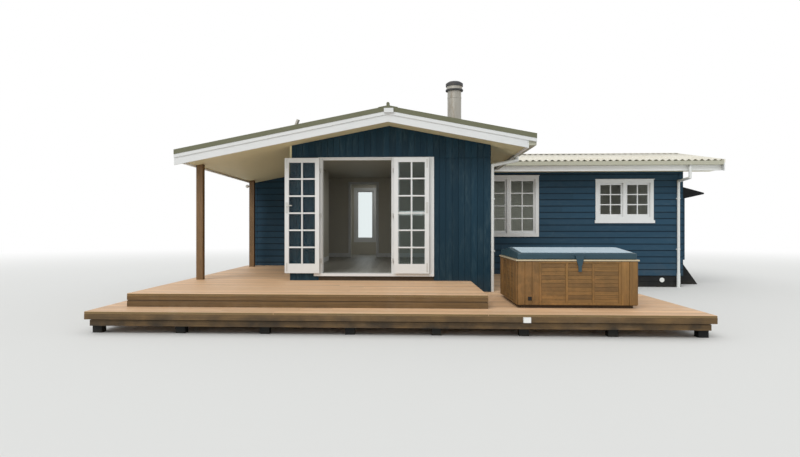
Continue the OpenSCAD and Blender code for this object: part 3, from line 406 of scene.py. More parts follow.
def cut_to_gable(bm, sides=(-1, 1)):
    """Cuts boards to the underside of the front roof, on one side or both."""
    for side in sides:
        keep_below(bm, place(RIDGE_X, 0, RIDGE - SOFFIT_DEPTH), Vector((side * GABLE_FALL, 0, 1)))


def piece(bm, name, finish, body="house", soft=0.0, smooth=False):
    """Makes an object of a bmesh, with softened edges, rides it on a body and gives it a finish."""
    if soft:
        soften(bm, soft)
    mesh = bpy.data.meshes.new(name)
    bm.to_mesh(mesh)
    bm.free()
    if smooth:
        mesh.polygons.foreach_set("use_smooth", [True] * len(mesh.polygons))
    mesh.materials.append(bpy.data.materials[finish])
    obj = bpy.data.objects.new(name, mesh)
    bpy.context.scene.collection.objects.link(obj)
    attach(obj, body)
    return obj


def spans(low, high, cuts):
    """Stretches of low to high that no cut covers."""
    out = [(low, high)]
    for a, b in cuts:
        rest = []
        for s, e in out:
            if b <= s or a >= e:
                rest.append((s, e))
                continue
            if a > s:
                rest.append((s, a))
            if b < e:
                rest.append((b, e))
        out = rest
    return out


def bands(low, high, holes, first, last):
    """Splits low to high where a hole starts or ends, each with the holes beside it."""
    edges = sorted({low, high, *(e for h in holes for e in (h[first], h[last]) if low < e < high)})
    for a, b in zip(edges, edges[1:]):
        yield a, b, [h for h in holes if h[first] < b - 1e-4 and h[last] > a + 1e-4]


class Wall:
    """Outside or inside face of a wall, measured along it, out from it and up it."""

    def __init__(self, x, y, turn):
        self.matrix = Matrix.Translation(place(x, y, 0)) @ Matrix.Rotation(math.radians(turn), 4, "Z")

    def board(self, bm, u0, u1, z0, z1, foot, head=None, tint=0.0):
        """Board that is foot thick at its lower edge and head thick at its upper edge."""
        size = Matrix.Diagonal((u1 - u0, 1.0, z1 - z0, 1.0))
        centre = Matrix.Translation(((u0 + u1) / 2, -0.5, (z0 + z1) / 2))
        verts = bmesh.ops.create_cube(bm, size=1.0, matrix=centre @ size)["verts"]
        if head is None:
            head = foot
        for vert in verts:
            if vert.co.y < -0.5:
                vert.co.y = -(head if vert.co.z > (z0 + z1) / 2 else foot)
        set_tint(bm, verts, tint)
        bmesh.ops.transform(bm, matrix=self.matrix, verts=verts)

    def weatherboards(self, bm, u0, u1, z1, holes, seed):
        """Level boards from the base up to a height, each lapped over the one below it."""
        size = sizes()
        rng = random.Random(seed)
        z = WALL_BASE
        while z < z1 - 0.001:
            top = min(z + size.weatherboard, z1)
            tints = [rng.uniform(-1, 1) for _ in range(4)]
            joints = [u0 + (u1 - u0) * rng.uniform(0.2, 0.8)] if u1 - u0 > LONG_WALL else []
            for a, b, beside in bands(z, top, holes, 2, 3):
                cuts = [(h[0], h[1]) for h in beside] + [(j, j + BUTT) for j in joints]
                for i, (s, e) in enumerate(spans(u0, u1, cuts)):
                    share = [(v - z) / size.weatherboard for v in (a, b)]
                    foot, head = [size.board_foot + (size.board_head - size.board_foot) * k for k in share]
                    self.board(bm, s, e, a, b, foot, head, tints[i % 4])
            z = top

    def uprights(self, bm, u0, u1, z0, z1, holes, seed):
        """Upright boards with a groove between each two."""
        size = sizes()
        rng = random.Random(seed)
        count = max(1, round((u1 - u0) / size.upright))
        pitch = (u1 - u0) / count
        for i in range(count):
            left = u0 + i * pitch
            tint = rng.uniform(-1, 1)
            right = left + pitch - (size.upright_gap if i < count - 1 else 0)
            self.flat(bm, left, right, z0, z1, holes, size.upright_t, tint)

    def flat(self, bm, u0, u1, z0, z1, holes, thick, tint=0.0):
        """Board or lining of one thickness, with the holes left out."""
        for a, b, beside in bands(u0, u1, holes, 0, 1):
            for s, e in spans(z0, z1, [(h[2], h[3]) for h in beside]):
                self.board(bm, a, b, s, e, thick, tint=tint)


# Material helpers


def feed(tree, socket, value):
    """Links a socket to a node's output, or sets its value or colour."""
    if isinstance(value, bpy.types.NodeSocket):
        tree.links.new(value, socket)
    elif socket.type == "RGBA":
        socket.default_value = (*value[:3], 1.0)
    else:
        socket.default_value = value


def new_node(tree, kind, **inputs):
    """New node with its inputs fed: an underscore in a label stands for a space."""
    node = tree.nodes.new(kind)
    for label, value in inputs.items():
        feed(tree, node.inputs[label.replace("_", " ")], value)
    return node


def math_node(tree, operation, a, b=0.0):
    """Math node of two values or sockets."""
    node = tree.nodes.new("ShaderNodeMath")
    node.operation = operation
    feed(tree, node.inputs[0], a)
    feed(tree, node.inputs[1], b)
    return node.outputs[0]


def times(tree, a, b):
    """Product of two values or sockets."""
    return math_node(tree, "MULTIPLY", a, b)


def mix_node(tree, factor, a, b, blend="MIX"):
    """Colour mix of two colours or sockets."""
    node = tree.nodes.new("ShaderNodeMix")
    node.data_type = "RGBA"
    node.blend_type = blend
    for index, value in ((0, factor), (6, a), (7, b)):
        feed(tree, node.inputs[index], value)
    return node.outputs[2]


def smooth_step(tree, value, low, high):
    """Smooth step of a value from low to high."""
    node = new_node(tree, "ShaderNodeMapRange", Value=value, From_Min=low, From_Max=high)
    node.interpolation_type = "SMOOTHSTEP"
    return node.outputs["Result"]


def spread(tree, value, low, high):
    """Maps a value from 0 to 1 onto low to high."""
    return new_node(tree, "ShaderNodeMapRange", Value=value, To_Min=low, To_Max=high).outputs["Result"]


def noise_node(tree, vector, scale, detail, rough, warp=0.0):
    """Noise texture over a vector."""
    given = {"Vector": vector, "Scale": scale, "Detail": detail, "Roughness": rough, "Distortion": warp}
    return new_node(tree, "ShaderNodeTexNoise", **given).outputs["Fac"]


def stretched(tree, vector, scale):
    """Object coordinates with a scale for each axis."""
    return new_node(tree, "ShaderNodeMapping", Vector=vector, Scale=scale).outputs[0]


def axes(tree, vector):
    """X, Y and Z of a vector."""
    return new_node(tree, "ShaderNodeSeparateXYZ", Vector=vector).outputs


def bump(tree, shader, height, strength, distance):
    """Bump from a height into the shader's normal."""
    node = new_node(tree, "ShaderNodeBump", Strength=strength, Distance=distance, Height=height)
    tree.links.new(node.outputs[0], shader.inputs["Normal"])


def shade(colour, factor):
    """Colour made darker or lighter by a factor."""
    return tuple(min(1.0, max(0.0, c * factor)) for c in colour[:3])


def blend_colour(a, b, share):
    """Colour between two colours."""
    return tuple(x + (y - x) * share for x, y in zip(a[:3], b[:3]))


# Node groups that several finishes share

COLOUR = "NodeSocketColor"
NUMBER = "NodeSocketFloat"
VECTOR = "NodeSocketVector"


def group(name, inputs, outputs):
    """New shader node group: its tree, the values that it is given and the sockets that it puts out."""
    tree = bpy.data.node_groups.new(name, "ShaderNodeTree")
    for label, kind, value in inputs:
        socket = tree.interface.new_socket(label, in_out="INPUT", socket_type=kind)
        if value is not None:
            socket.default_value = value
    for label, kind in outputs:
        tree.interface.new_socket(label, in_out="OUTPUT", socket_type=kind)
    return tree, tree.nodes.new("NodeGroupInput").outputs, tree.nodes.new("NodeGroupOutput").inputs


def board_tint_group():
    """Brightness of each board from its tint. The lowest tints lose some blue as well."""
    tree, given, out = group(
        "Board tint", [("Color", COLOUR, None), ("Amount", NUMBER, 0.12)], [("Color", COLOUR)]
    )
    attribute = tree.nodes.new("ShaderNodeAttribute")
    attribute.attribute_name = "tint"
    tint = attribute.outputs["Fac"]
    bright = math_node(tree, "ADD", times(tree, tint, given["Amount"]), 1.0)
    below = math_node(tree, "MINIMUM", math_node(tree, "ADD", tint, 2.0), 0.0)
    blue = math_node(tree, "ADD", bright, times(tree, below, BLUE_LOSS))
    grey = new_node(tree, "ShaderNodeCombineColor", Red=bright, Green=bright, Blue=blue)
    tree.links.new(mix_node(tree, 1.0, given["Color"], grey.outputs[0], "MULTIPLY"), out["Color"])


def timber_grain_group():
    """Broad and fine grain between a light and a dark colour."""
    tree, given, out = group(
        "Timber grain",
        [("Vector", VECTOR, None), ("Light", COLOUR, None), ("Dark", COLOUR, None), ("Depth", NUMBER, 1.0)],
        [("Color", COLOUR), ("Height", NUMBER)],
    )
    broad = noise_node(tree, given["Vector"], 1.0, 6.0, 0.6, 0.8)
    fine = noise_node(tree, given["Vector"], 6.0, 3.0, 0.7)
    both = math_node(tree, "ADD", times(tree, broad, 0.7), times(tree, fine, 0.3))
    mask = times(tree, smooth_step(tree, both, 0.36, 0.64), given["Depth"])
    tree.links.new(mix_node(tree, mask, given["Light"], given["Dark"]), out["Color"])
    tree.links.new(both, out["Height"])


def weathering_group():
    """Worn patches with ragged edges."""
    tree, given, out = group(
        "Weathering",
        [("Vector", VECTOR, None), ("Color", COLOUR, None), ("Worn", COLOUR, None), ("Amount", NUMBER, 0.5)],
        [("Color", COLOUR)],
    )
    broad = noise_node(tree, given["Vector"], 1.3, 5.0, 0.6, 0.3)
    spots = noise_node(tree, given["Vector"], 7.0, 6.0, 0.65)
    patches = times(tree, smooth_step(tree, broad, 0.38, 0.68), smooth_step(tree, spots, 0.35, 0.7))
    mask = times(tree, patches, given["Amount"])
    tree.links.new(mix_node(tree, mask, given["Color"], given["Worn"]), out["Color"])


def low_dirt_and_shade_group():
    """Colour towards the ground, thinning out from a low to a high level: splashed soiling on the walls and
    the base, and painted shade at the foot of the deck's edge boards.
    """
    levels = [("Low", NUMBER, 0.0), ("High", NUMBER, 0.5), ("Amount", NUMBER, 0.4)]
    tree, given, out = group(
        "Low dirt and shade", [("Color", COLOUR, None), ("Low colour", COLOUR, None), *levels], [("Color", COLOUR)]
    )
    coords = tree.nodes.new("ShaderNodeTexCoord").outputs["Object"]
    level = {"From_Min": given["High"], "From_Max": given["Low"]}
    rise = new_node(tree, "ShaderNodeMapRange", Value=axes(tree, coords)["Z"], **level).outputs["Result"]
    patch = smooth_step(tree, noise_node(tree, coords, 3.0, 5.0, 0.6), 0.3, 0.7)
    mask = times(tree, times(tree, rise, patch), given["Amount"])
    tree.links.new(mix_node(tree, mask, given["Color"], given["Low colour"]), out["Color"])


def use_group(tree, name, **values):
    """Places a node group, feeds its inputs and gives its outputs."""
    node = tree.nodes.new("ShaderNodeGroup")
    node.node_tree = bpy.data.node_groups[name]
    for label, value in values.items():
        feed(tree, node.inputs[label], value)
    return node.outputs


def weathered(tree, vector, colour, worn, amount):
    """Colour with worn patches."""
    return use_group(tree, "Weathering", Vector=vector, Color=colour, Worn=worn, Amount=amount)["Color"]


def on_boards(tree, colour, tint, low_band):
    """Colour with each board's tint and, where it is given, a band low down (soiling on walls and base,
    painted shade on the deck's edge boards): its colour, both levels and amount.
    """
    shown = use_group(tree, "Board tint", Color=colour, Amount=tint)["Color"]
    if low_band:
        low_colour, low, high, amount = low_band
        given = {"Color": shown, "Low colour": low_colour, "Low": low, "High": high, "Amount": amount}
        shown = use_group(tree, "Low dirt and shade", **given)["Color"]
    return shown


# Kinds of finish


def blank_material(name):
    """Material with one Principled shader and Object coordinates."""
    material = bpy.data.materials.new(name)
    material.use_nodes = True
    tree = material.node_tree
    tree.nodes.clear()
    shader = tree.nodes.new("ShaderNodeBsdfPrincipled")
    out = tree.nodes.new("ShaderNodeOutputMaterial")
    tree.links.new(shader.outputs[0], out.inputs["Surface"])
    return tree, shader, tree.nodes.new("ShaderNodeTexCoord").outputs["Object"]


def timber(name, colour, scale, rough, dark, tint=0.1, worn=None, share=0.5, depth=0.75, low_band=None):
    """Oiled or weathered timber with grain along its boards."""
    tree, shader, coords = blank_material(name)
    grain = use_group(
        tree,
        "Timber grain",
        Vector=stretched(tree, coords, scale),
        Light=shade(colour, 1.08),
        Dark=shade(colour, dark),
        Depth=depth,
    )
    aged = weathered(tree, coords, grain["Color"], worn or shade(colour, 0.8), share)
    tree.links.new(on_boards(tree, aged, tint, low_band), shader.inputs["Base Color"])
    tree.links.new(spread(tree, grain["Height"], rough - 0.08, rough + 0.1), shader.inputs["Roughness"])
    bump(tree, shader, grain["Height"], 0.35, 0.0015)


def paint(name, colour, worn, amount, rough, scale, tint, low_band=None, gloss=0.5, lap=0.0):
    """Brushed paint on boards, with faded patches, fine brush marks and, where a lap height is given,
    painted shade at the top of each board under the lap of the one above.
    """
    tree, shader, coords = blank_material(name)
    aged = weathered(tree, stretched(tree, coords, scale), colour, worn, amount)
    shown = on_boards(tree, aged, tint, low_band)
    if lap:
        # Painted shade: the top of each weatherboard, under the lap of the board above, is darkened
        height = math_node(tree, "SUBTRACT", axes(tree, coords)["Z"], WALL_BASE)
        lap_shade = smooth_step(tree, math_node(tree, "FRACT", math_node(tree, "DIVIDE", height, lap)), 0.8, 0.9)
        shown = mix_node(tree, times(tree, lap_shade, 0.75), shown, shade(colour, 0.2))
    tree.links.new(shown, shader.inputs["Base Color"])
    shader.inputs["Specular IOR Level"].default_value = gloss
    marks = noise_node(tree, stretched(tree, coords, tuple(s * 18 for s in scale)), 4.0, 5.0, 0.6)
    tree.links.new(spread(tree, marks, rough - 0.08, rough + 0.12), shader.inputs["Roughness"])
    bump(tree, shader, marks, 0.12, 0.001)


def scratched(tree, shader, coords, colour, low, high):
    """Feeds a metal's colour, and its roughness and bump from fine scratches."""
    tree.links.new(colour, shader.inputs["Base Color"])
    marks = noise_node(tree, stretched(tree, coords, (60.0, 60.0, 60.0)), 1.0, 4.0, 0.6)
    tree.links.new(spread(tree, marks, low, high), shader.inputs["Roughness"])
    bump(tree, shader, marks, 0.05, 0.0005)


def metal(name, colour, worn, amount, metallic, rough, scale=(1.0, 1.0, 1.0)):
    """Painted or bare metal with stains and fine scratches."""
    tree, shader, coords = blank_material(name)
    aged = weathered(tree, stretched(tree, coords, scale), colour, worn, amount)
    shader.inputs["Metallic"].default_value = metallic
    scratched(tree, shader, coords, aged, rough - 0.06, rough + 0.1)


def folded_metal(worn_olive, worn_cream):
    """Painted caps and folded edges, olive on the front roof and cream on the wing."""
    c = colours()
    tree, shader, coords = blank_material("Roof folds")
    corner = place(RIDGE_X, WING_RIDGE_Y, 0)
    right = math_node(tree, "SUBTRACT", axes(tree, coords)["X"], corner.x)
    away = math_node(tree, "ABSOLUTE", math_node(tree, "SUBTRACT", axes(tree, coords)["Y"], corner.y))
    wing = math_node(tree, "GREATER_THAN", times(tree, right, GABLE_FALL / WING_FALL), away)
    shown, worn = mix_node(tree, wing, c.olive, c.cream), mix_node(tree, wing, worn_olive, worn_cream)
    scratched(tree, shader, coords, weathered(tree, coords, shown, worn, 0.6), 0.5, 0.7)


def vinyl(name, colour, worn):
    """Grained vinyl that the sun has faded in patches."""
    tree, shader, coords = blank_material(name)
    tree.links.new(weathered(tree, coords, colour, worn, 0.5), shader.inputs["Base Color"])
    cells = new_node(tree, "ShaderNodeTexVoronoi", Scale=420.0, Vector=coords).outputs["Distance"]
    creases = noise_node(tree, coords, 9.0, 5.0, 0.6, 0.5)
    tree.links.new(spread(tree, creases, 0.34, 0.5), shader.inputs["Roughness"])
    bump(tree, shader, math_node(tree, "ADD", times(tree, cells, 0.25), creases), 0.25, 0.002)


def clear_glass():
    """Float glass with a trace of green and dust."""
    tree, shader, coords = blank_material("Clear glass")
    shader.inputs["Base Color"].default_value = (0.8, 0.87, 0.87, 1.0)
    shader.inputs["Transmission Weight"].default_value = 1.0
    shader.inputs["IOR"].default_value = 1.22
    dust = noise_node(tree, coords, 5.0, 5.0, 0.6)
    tree.links.new(spread(tree, dust, 0.0, 0.06), shader.inputs["Roughness"])


def build_timbers():
    """Timbers: colour, grain scale, roughness, dark grain, tint, worn colour and share, grain depth."""
    c = colours()
    bleached = blend_colour(c.deck, linear("e3cdb5"), 0.6)
    greyed = blend_colour(c.riser, linear("8f8a80"), 0.2)
    timber("Deck tops", c.deck, (1.6, 38.0, 38.0), 0.55, 0.74, 0.16, bleached, 0.55, 0.7)
    # Painted shade: the deck's edge boards darken in patches towards the ground
    shadow = (linear("1a1407"), 0.08, 0.42, 1.0)
    timber("Deck edges", c.riser, (1.6, 30.0, 55.0), 0.6, 0.55, 0.1, greyed, low_band=shadow)
    timber("Joist timber", linear("5d4a35"), (3.0, 3.0, 40.0), 0.8, 0.6)
    timber("Threshold timber", linear("524535"), (2.0, 2.0, 40.0), 0.7, 0.55, 0.1, linear("3a2f24"), 0.6)
    timber("Post timber", c.post, (38.0, 38.0, 2.2), 0.5, 0.6, 0.08, shade(c.post, 1.3), 0.4)
    up, along = (34.0, 34.0, 2.4), (2.4, 2.4, 48.0)
    timber("Upright cedar", c.cedar, up, 0.5, 0.62, 0.22, blend_colour(c.cedar, linear("c08a50"), 0.6))
    sunned = blend_colour(c.cedar, linear("b98449"), 0.5)
    timber("Level cedar", shade(c.cedar, 0.92), along, 0.5, 0.6, 0.2, sunned)
    # Painted shade: the cabinet behind the cedar is far darker than the cedar, so the gaps between the
    # boards and its foot below them read as shade
    timber("Shaded tub backing", shade(c.cedar, 0.28), up, 0.6, 0.6)
    floor = c.inside_floor
    timber("Inside floor", floor, (24.0, 1.4, 24.0), 0.4, 0.8, 0.1, shade(floor, 1.1), 0.3, 0.5)


def build_paints():
    """Paints: colour, worn colour and amount, roughness, scale of the patches, tint, soiling low down."""
    c = colours()
    white, low_colour = c.white, linear("6f665a")
    faded = blend_colour(c.navy, linear("4a5f66"), 0.55)
    low_band = (low_colour, 0.2, 0.62, 0.16)
    paint("Navy uprights", c.navy, faded, 0.65, 0.42, (5.0, 5.0, 0.9), 0.16, low_band, gloss=0.15)
    faded = blend_colour(c.wing_navy, linear("55656f"), 0.5)
    # The lap height gives the weatherboards painted shade under each lap
    laps = {"low_band": (low_colour, 0.2, 0.7, 0.2), "gloss": 0.15, "lap": sizes().weatherboard}
    paint("Navy weatherboards", c.wing_navy, faded, 0.35, 0.5, (0.9, 0.9, 4.0), 0.08, **laps)
    paint("White joinery", shade(white, 0.94), shade(white, 0.85), 0.35, 0.32, (2.0, 2.0, 1.0), 0.03)
    paint("White trim", shade(white, 0.88), shade(white, 0.76), 0.45, 0.38, (0.7, 3.0, 3.0), 0.03)
    paint("Soffit paint", c.soffit, shade(c.soffit, 0.9), 0.5, 0.6, (1.0, 0.4, 1.0), 0.04)
    low_band = (linear("4a4538"), 0.0, 0.24, 0.3)
    paint("Dark base", c.dark, linear("2c2d2c"), 0.5, 0.65, (1.0, 1.0, 3.0), 0.2, low_band, gloss=0.25)
    paint("Inside lining", c.lining, shade(c.lining, 0.94), 0.3, 0.6, (1.0, 1.0, 1.0), 0.03)


def build_metals():
    """Metals and plastics: colour, worn colour and amount, metallic, roughness, scale. Vinyl and glass."""
    c = colours()
    worn_olive, worn_cream = linear("5c5d40"), linear("c2b79c")
    metal("Olive roofing", c.olive, worn_olive, 0.7, 0.0, 0.62)
    metal("Cream roofing", c.cream, worn_cream, 0.6, 0.0, 0.58)
    folded_metal(worn_olive, worn_cream)
    metal("Gutter paint", c.gutter, shade(c.gutter, 0.85), 0.5, 0.0, 0.42, (0.6, 2.0, 2.0))
    metal("Fascia paint", linear("f6f7f5"), linear("e4e5df"), 0.3, 0.0, 0.4, (0.6, 3.0, 3.0))
    metal("White pipe", linear("dfe1de"), linear("c4c5be"), 0.5, 0.0, 0.35, (3.0, 3.0, 0.8))
    metal("Flue metal", c.flue, linear("8c7f6d"), 0.75, 0.6, 0.42, (4.0, 4.0, 1.2))
    metal("Flue cap", linear("46484b"), linear("5f5449"), 0.7, 0.3, 0.6, (6.0, 6.0, 6.0))
    metal("Satin steel", c.steel, shade(c.steel, 0.7), 0.4, 0.5, 0.35)
    metal("White plastic", linear("e6e6e2"), linear("d2d2cb"), 0.4, 0.0, 0.4)
    metal("Tub acrylic", linear("c0b396"), linear("a39372"), 0.4, 0.0, 0.3)
    vinyl("Cover vinyl", c.cover, shade(c.cover, 1.5))
    # Painted sheen: the cover's top panels are painted pale for the sky's sheen
    vinyl("Cover top sheen vinyl", c.cover_top_sheen, blend_colour(c.cover_top_sheen, c.cover, 0.35))
    clear_glass()


# Operators, one for each group of pieces


class HOUSE_OT_finishes(bpy.types.Operator):
    """Makes the finishes and puts one on every carried-over piece."""

    bl_idname = "house.finishes"
    bl_label = "Finishes"

    def execute(self, context):
        for build_group in (board_tint_group, timber_grain_group, weathering_group, low_dirt_and_shade_group):
            build_group()
        build_timbers()
        build_paints()
        build_metals()
        for finish, (_, names) in FINISHES.items():
            for name in names:
                mesh = NODES[name].data
                mesh.materials.clear()
                mesh.materials.append(bpy.data.materials[finish])
        return {"FINISHED"}


class HOUSE_OT_decking(bpy.types.Operator):
    """Lays the deck boards one by one, with joints, and their screws."""

    bl_idname = "house.decking"
    bl_label = "Decking"

    def boards(self, bm, screws, area, top, thick, rng):
        """Boards along X over one rectangle of the plan."""
        size = sizes()
        x0, x1, y0, y1 = area
        count = max(1, round((y1 - y0 + size.deck_gap) / (size.deck_board + size.deck_gap)))
        pitch = (y1 - y0 + size.deck_gap) / count
        for i in range(count):
            a = y0 + i * pitch
            b = a + pitch - size.deck_gap
            joints = []
            reach = x0 + rng.uniform(*FIRST_BOARD)
            while reach < x1 - END_BOARD:
                joints.append((reach - HALF_BUTT, reach + HALF_BUTT))
                reach += rng.uniform(*NEXT_BOARD)
            for s, e in spans(x0, x1, joints):
                slab(bm, s, e, a, b, top - thick, top, rng.uniform(-1, 1))
                for x in (s + SCREW_IN_END, e - SCREW_IN_END):
                    screws.extend((x, y) for y in (a + SCREW_IN_SIDE, b - SCREW_IN_SIDE))

    def darken_edges(self, bm, x0, x1, y0):
        """Gives the outer edges of a deck's boards the dark tone of its edge boards."""
        bm.normal_update()
        layer = bm.faces.layers.float["tint"]
        near, facing = 0.01, 0.9
        for face in bm.faces:
            at = face.calc_center_median() - CORNER
            front = face.normal.y < -facing and at.y < y0 + near
            left = face.normal.x < -facing and at.x < x0 + near
            right = face.normal.x > facing and at.x > x1 - near
            if front or left or right:
                face[layer] = EDGE_TINT

    def rims(self):
        """Rim joists behind the gaps between the edge boards."""
        bm = new_bmesh()
        foot = plan_box("deck_edges")[4] + 0.004
        for node, end, behind, low in (("upper_deck", 0.0, 0.008, DECK), ("lower_deck", ROOM_D, 0.08, foot)):
            x0, x1, y0, y1, z0, _ = plan_box(node)
            a, b, front, high = x0 + behind, x1 - behind, y0 + behind, z0 - 0.001
            back = front + RIM_T
            slabs(
                bm,
                (a, b, front, back, low, high),
                (a, a + RIM_T, back, y1, low, high),
                (b - RIM_T, b, back, end, low, high),
            )
        piece(bm, "deck_rims", "Joist timber")

    def execute(self, context):
        rng = random.Random(7)
        for node in ("lower_deck", "upper_deck"):
            x0, x1, y0, y1, z0, z1 = plan_box(node)
            bm = new_bmesh()
            screws = []
            areas = [(x0, x1, y0, -DECK_GAP), (x0, -DECK_GAP, DECK_START, y1)]
            if x1 > ROOM_W:
                areas.append((ROOM_W + DECK_GAP, x1, DECK_START, y1))
            for area in areas:
                self.boards(bm, screws, area, z1, z1 - z0, rng)
            soften(bm, 0.0025)
            for x, y in screws:
                where = Matrix.Translation(place(x, y, z1 + SCREW_RISE))
                head = bmesh.ops.create_circle(bm, cap_ends=True, radius=SCREW_R, segments=6, matrix=where)
                set_tint(bm, head["verts"], SCREW_TINT)
            self.darken_edges(bm, x0, x1, y0)
            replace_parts(piece(bm, node + "_boards", "Deck tops"), node)
        self.rims()
        return {"FINISHED"}


class HOUSE_OT_upright_boards(bpy.types.Operator):
    """Covers the front room with upright boards, and adds a light strip at its left corner."""

    bl_idname = "house.upright_boards"
    bl_label = "Upright boards"

    def execute(self, context):
        x0, x1, _, _, _, head = plan_box("door_frame")
        left = x0 + SILL_REACH
        door = (left, x1, FLOOR - 0.05, head)
        joint, gap, strip = head - 0.022, 0.004, 0.006
        strip_foot, strip_head, corner_t = 0.02, 0.016, 0.018
        bm = new_bmesh()
        front = Wall(0, 0, 0)
        front.uprights(bm, 0.0, ROOM_W, WALL_BASE, joint, [door, (left, x1, 0.0, FLOOR)], 11)
        front.uprights(bm, 0.0, ROOM_W, joint + gap, RIDGE, [door], 12)
        front.board(bm, x1, ROOM_W, joint - strip, joint + strip, strip_foot, strip_head, -0.5)
        Wall(0, ROOM_D, -90).uprights(bm, 0.0, ROOM_D, WALL_BASE, RIDGE, [], 13)
        Wall(ROOM_W, 0, 90).uprights(bm, 0.0, ROOM_D, WALL_BASE, RIDGE, [], 14)
        cut_to_gable(bm)
        piece(bm, "upright_boards", "Navy uprights")
        bm = new_bmesh()
        front.board(bm, -0.015, 0.021, head - 0.05, RIDGE, corner_t)
        cut_to_gable(bm)
        piece(bm, "corner_strip", "Soffit paint")
        return {"FINISHED"}


class HOUSE_OT_weatherboards(bpy.types.Operator):
    """Covers the wing and the back rooms with lapped weatherboards and corner boards."""

    bl_idname = "house.weatherboards"
    bl_label = "Weatherboards"

    def execute(self, context):
        front, back = Wall(0, ROOM_D, 0), Wall(0, BACK, 180)
        windows = [window_hole("large_window"), window_hole("small_window")]
        behind = turned(back_windows())
        bm = new_bmesh()
        front.weatherboards(bm, ROOM_W + CLEAR, WING_END, WING_TOP, windows, 21)
        back.weatherboards(bm, -WING_END, -BACK_SPLIT, WING_TOP, behind, 26)
        Wall(WING_END, 0, 90).weatherboards(bm, ROOM_D, BACK, RIDGE, [plan_box("side_door")[2:]], 22)
        for side in (-1, 1):
            keep_below(bm, place(0, WING_RIDGE_Y, RIDGE - ROOF_T), Vector((0, side * WING_FALL, 1)))
        piece(bm, "wing_weatherboards", "Navy weatherboards")

        bm = new_bmesh()
        front.weatherboards(bm, LEFT_END, -0.016, VERANDAH_TOP, [], 23)
        Wall(LEFT_END, BACK, -90).weatherboards(bm, 0.0, BACK - ROOM_D, LEFT_TOP, [], 24)
        back.weatherboards(bm, -BACK_SPLIT, -LEFT_END, RIDGE, behind, 25)
        cut_to_gable(bm)
        piece(bm, "back_weatherboards", "Navy weatherboards")

        bm = new_bmesh()
        w, t, low = CORNER_W, CORNER_T, WALL_BASE - 0.01
        for x, high in ((WING_END - w + t, WING_TOP), (LEFT_END - t, LEFT_CORNER_TOP)):
            slabs(bm, (x, x + w, ROOM_D - t, ROOM_D, low, high), (x, x + w, BACK, BACK + t, low, high))
        for y in (ROOM_D - t, BACK - w + t):
            slab(bm, WING_END, WING_END + t, y, y + w, low, WING_TOP)
            slab(bm, LEFT_END - t, LEFT_END, y, y + w, low, LEFT_CORNER_TOP)
        piece(bm, "corner_boards", "Navy weatherboards", soft=0.002)
        return {"FINISHED"}


class HOUSE_OT_inside(bpy.types.Operator):
    """Lines the rooms and adds the floor boards, the skirtings and the inner door's trim."""

    bl_idname = "house.inside"
    bl_label = "Inside"

    def linings(self, t):
        """Linings of the front room, and of the back rooms."""
        x0, x1, _, _, _, z1 = plan_box("door_frame")
        near, far, left, right = ROOM_D + t, BACK - t, LEFT_END + t, WING_END - t
        windows = [window_hole("large_window"), window_hole("small_window")]
        bm = new_bmesh()
        for wall, u0, u1, holes in (
            (Wall(0, t, 180), t - ROOM_W, -t, turned([(x0, x1, FLOOR, z1)])),
            (Wall(t, 0, 90), t, near, []),
            (Wall(ROOM_W - t, 0, -90), -ROOM_D, -t, []),
            (Wall(0, near, 180), -t, -left, []),
            (Wall(0, near, 180), -right, t - ROOM_W, turned(windows)),
            (Wall(0, far, 0), left, right, back_windows()),
            (Wall(left, 0, 90), near, far, []),
            (Wall(right, 0, -90), -far, -near, turned([plan_box("side_door")[2:]])),
        ):
            wall.flat(bm, u0, u1, FLOOR, CEILING, holes, sizes().lining_t)
        cut_to_gable(bm, (-1,))
        piece(bm, "inside_lining", "Inside lining")

    def trim(self, t):
        """Architraves on both sides of the inner doorway, and skirtings."""
        a, b, y0, y1, _, _ = plan_box("partition")
        left, right = DOORWAY
        head, skirt_top = FLOOR + DOORWAY_H, FLOOR + 0.11
        wide, thick, skirt_t = 0.07, 0.018, 0.014
        bm = new_bmesh()
        for y in (y0 - thick, y1):
            slabs(
                bm,
                (left - wide, left, y, y + thick, FLOOR, head + wide),
                (right, right + wide, y, y + thick, FLOOR, head + wide),
                (left, right, y, y + thick, head, head + wide),
                (a, left - wide, y, y + skirt_t, FLOOR, skirt_top),
                (right + wide, b, y, y + skirt_t, FLOOR, skirt_top),
            )
        inner = t + sizes().lining_t
        for x in (inner, ROOM_W - inner - skirt_t):
            slab(bm, x, x + skirt_t, t, ROOM_D, FLOOR, skirt_top)
        piece(bm, "inside_trim", "White joinery", soft=0.003)

    def floor_boards(self, t):
        """Floor boards along Y with a thin joint between each two."""
        bm = new_bmesh()
        rng = random.Random(31)
        inner = t + sizes().lining_t
        wide, joint, thick = 0.088, 0.0015, 0.003
        for x0, x1, y0, y1 in (
            (inner, ROOM_W - inner, t, ROOM_D + t),
            (LEFT_END + t, WING_END - t, ROOM_D + t, BACK - t),
        ):
            x = x0
            while x < x1 - 0.01:
                e = min(x + wide, x1)
                slab(bm, x, e - joint, y0, y1, FLOOR, FLOOR + thick, rng.uniform(-1, 1))
                x = e
        piece(bm, "inside_floor_boards", "Inside floor")

    def execute(self, context):
        self.linings(WALL_T)
        self.trim(WALL_T)
        self.floor_boards(WALL_T)
        return {"FINISHED"}


def valley_normal(side):
    """Level normal of a valley, away from the front roof on the front (1) or the back (-1) side."""
    return Vector((1.0, side * WING_FALL / GABLE_FALL, 0.0)).normalized()


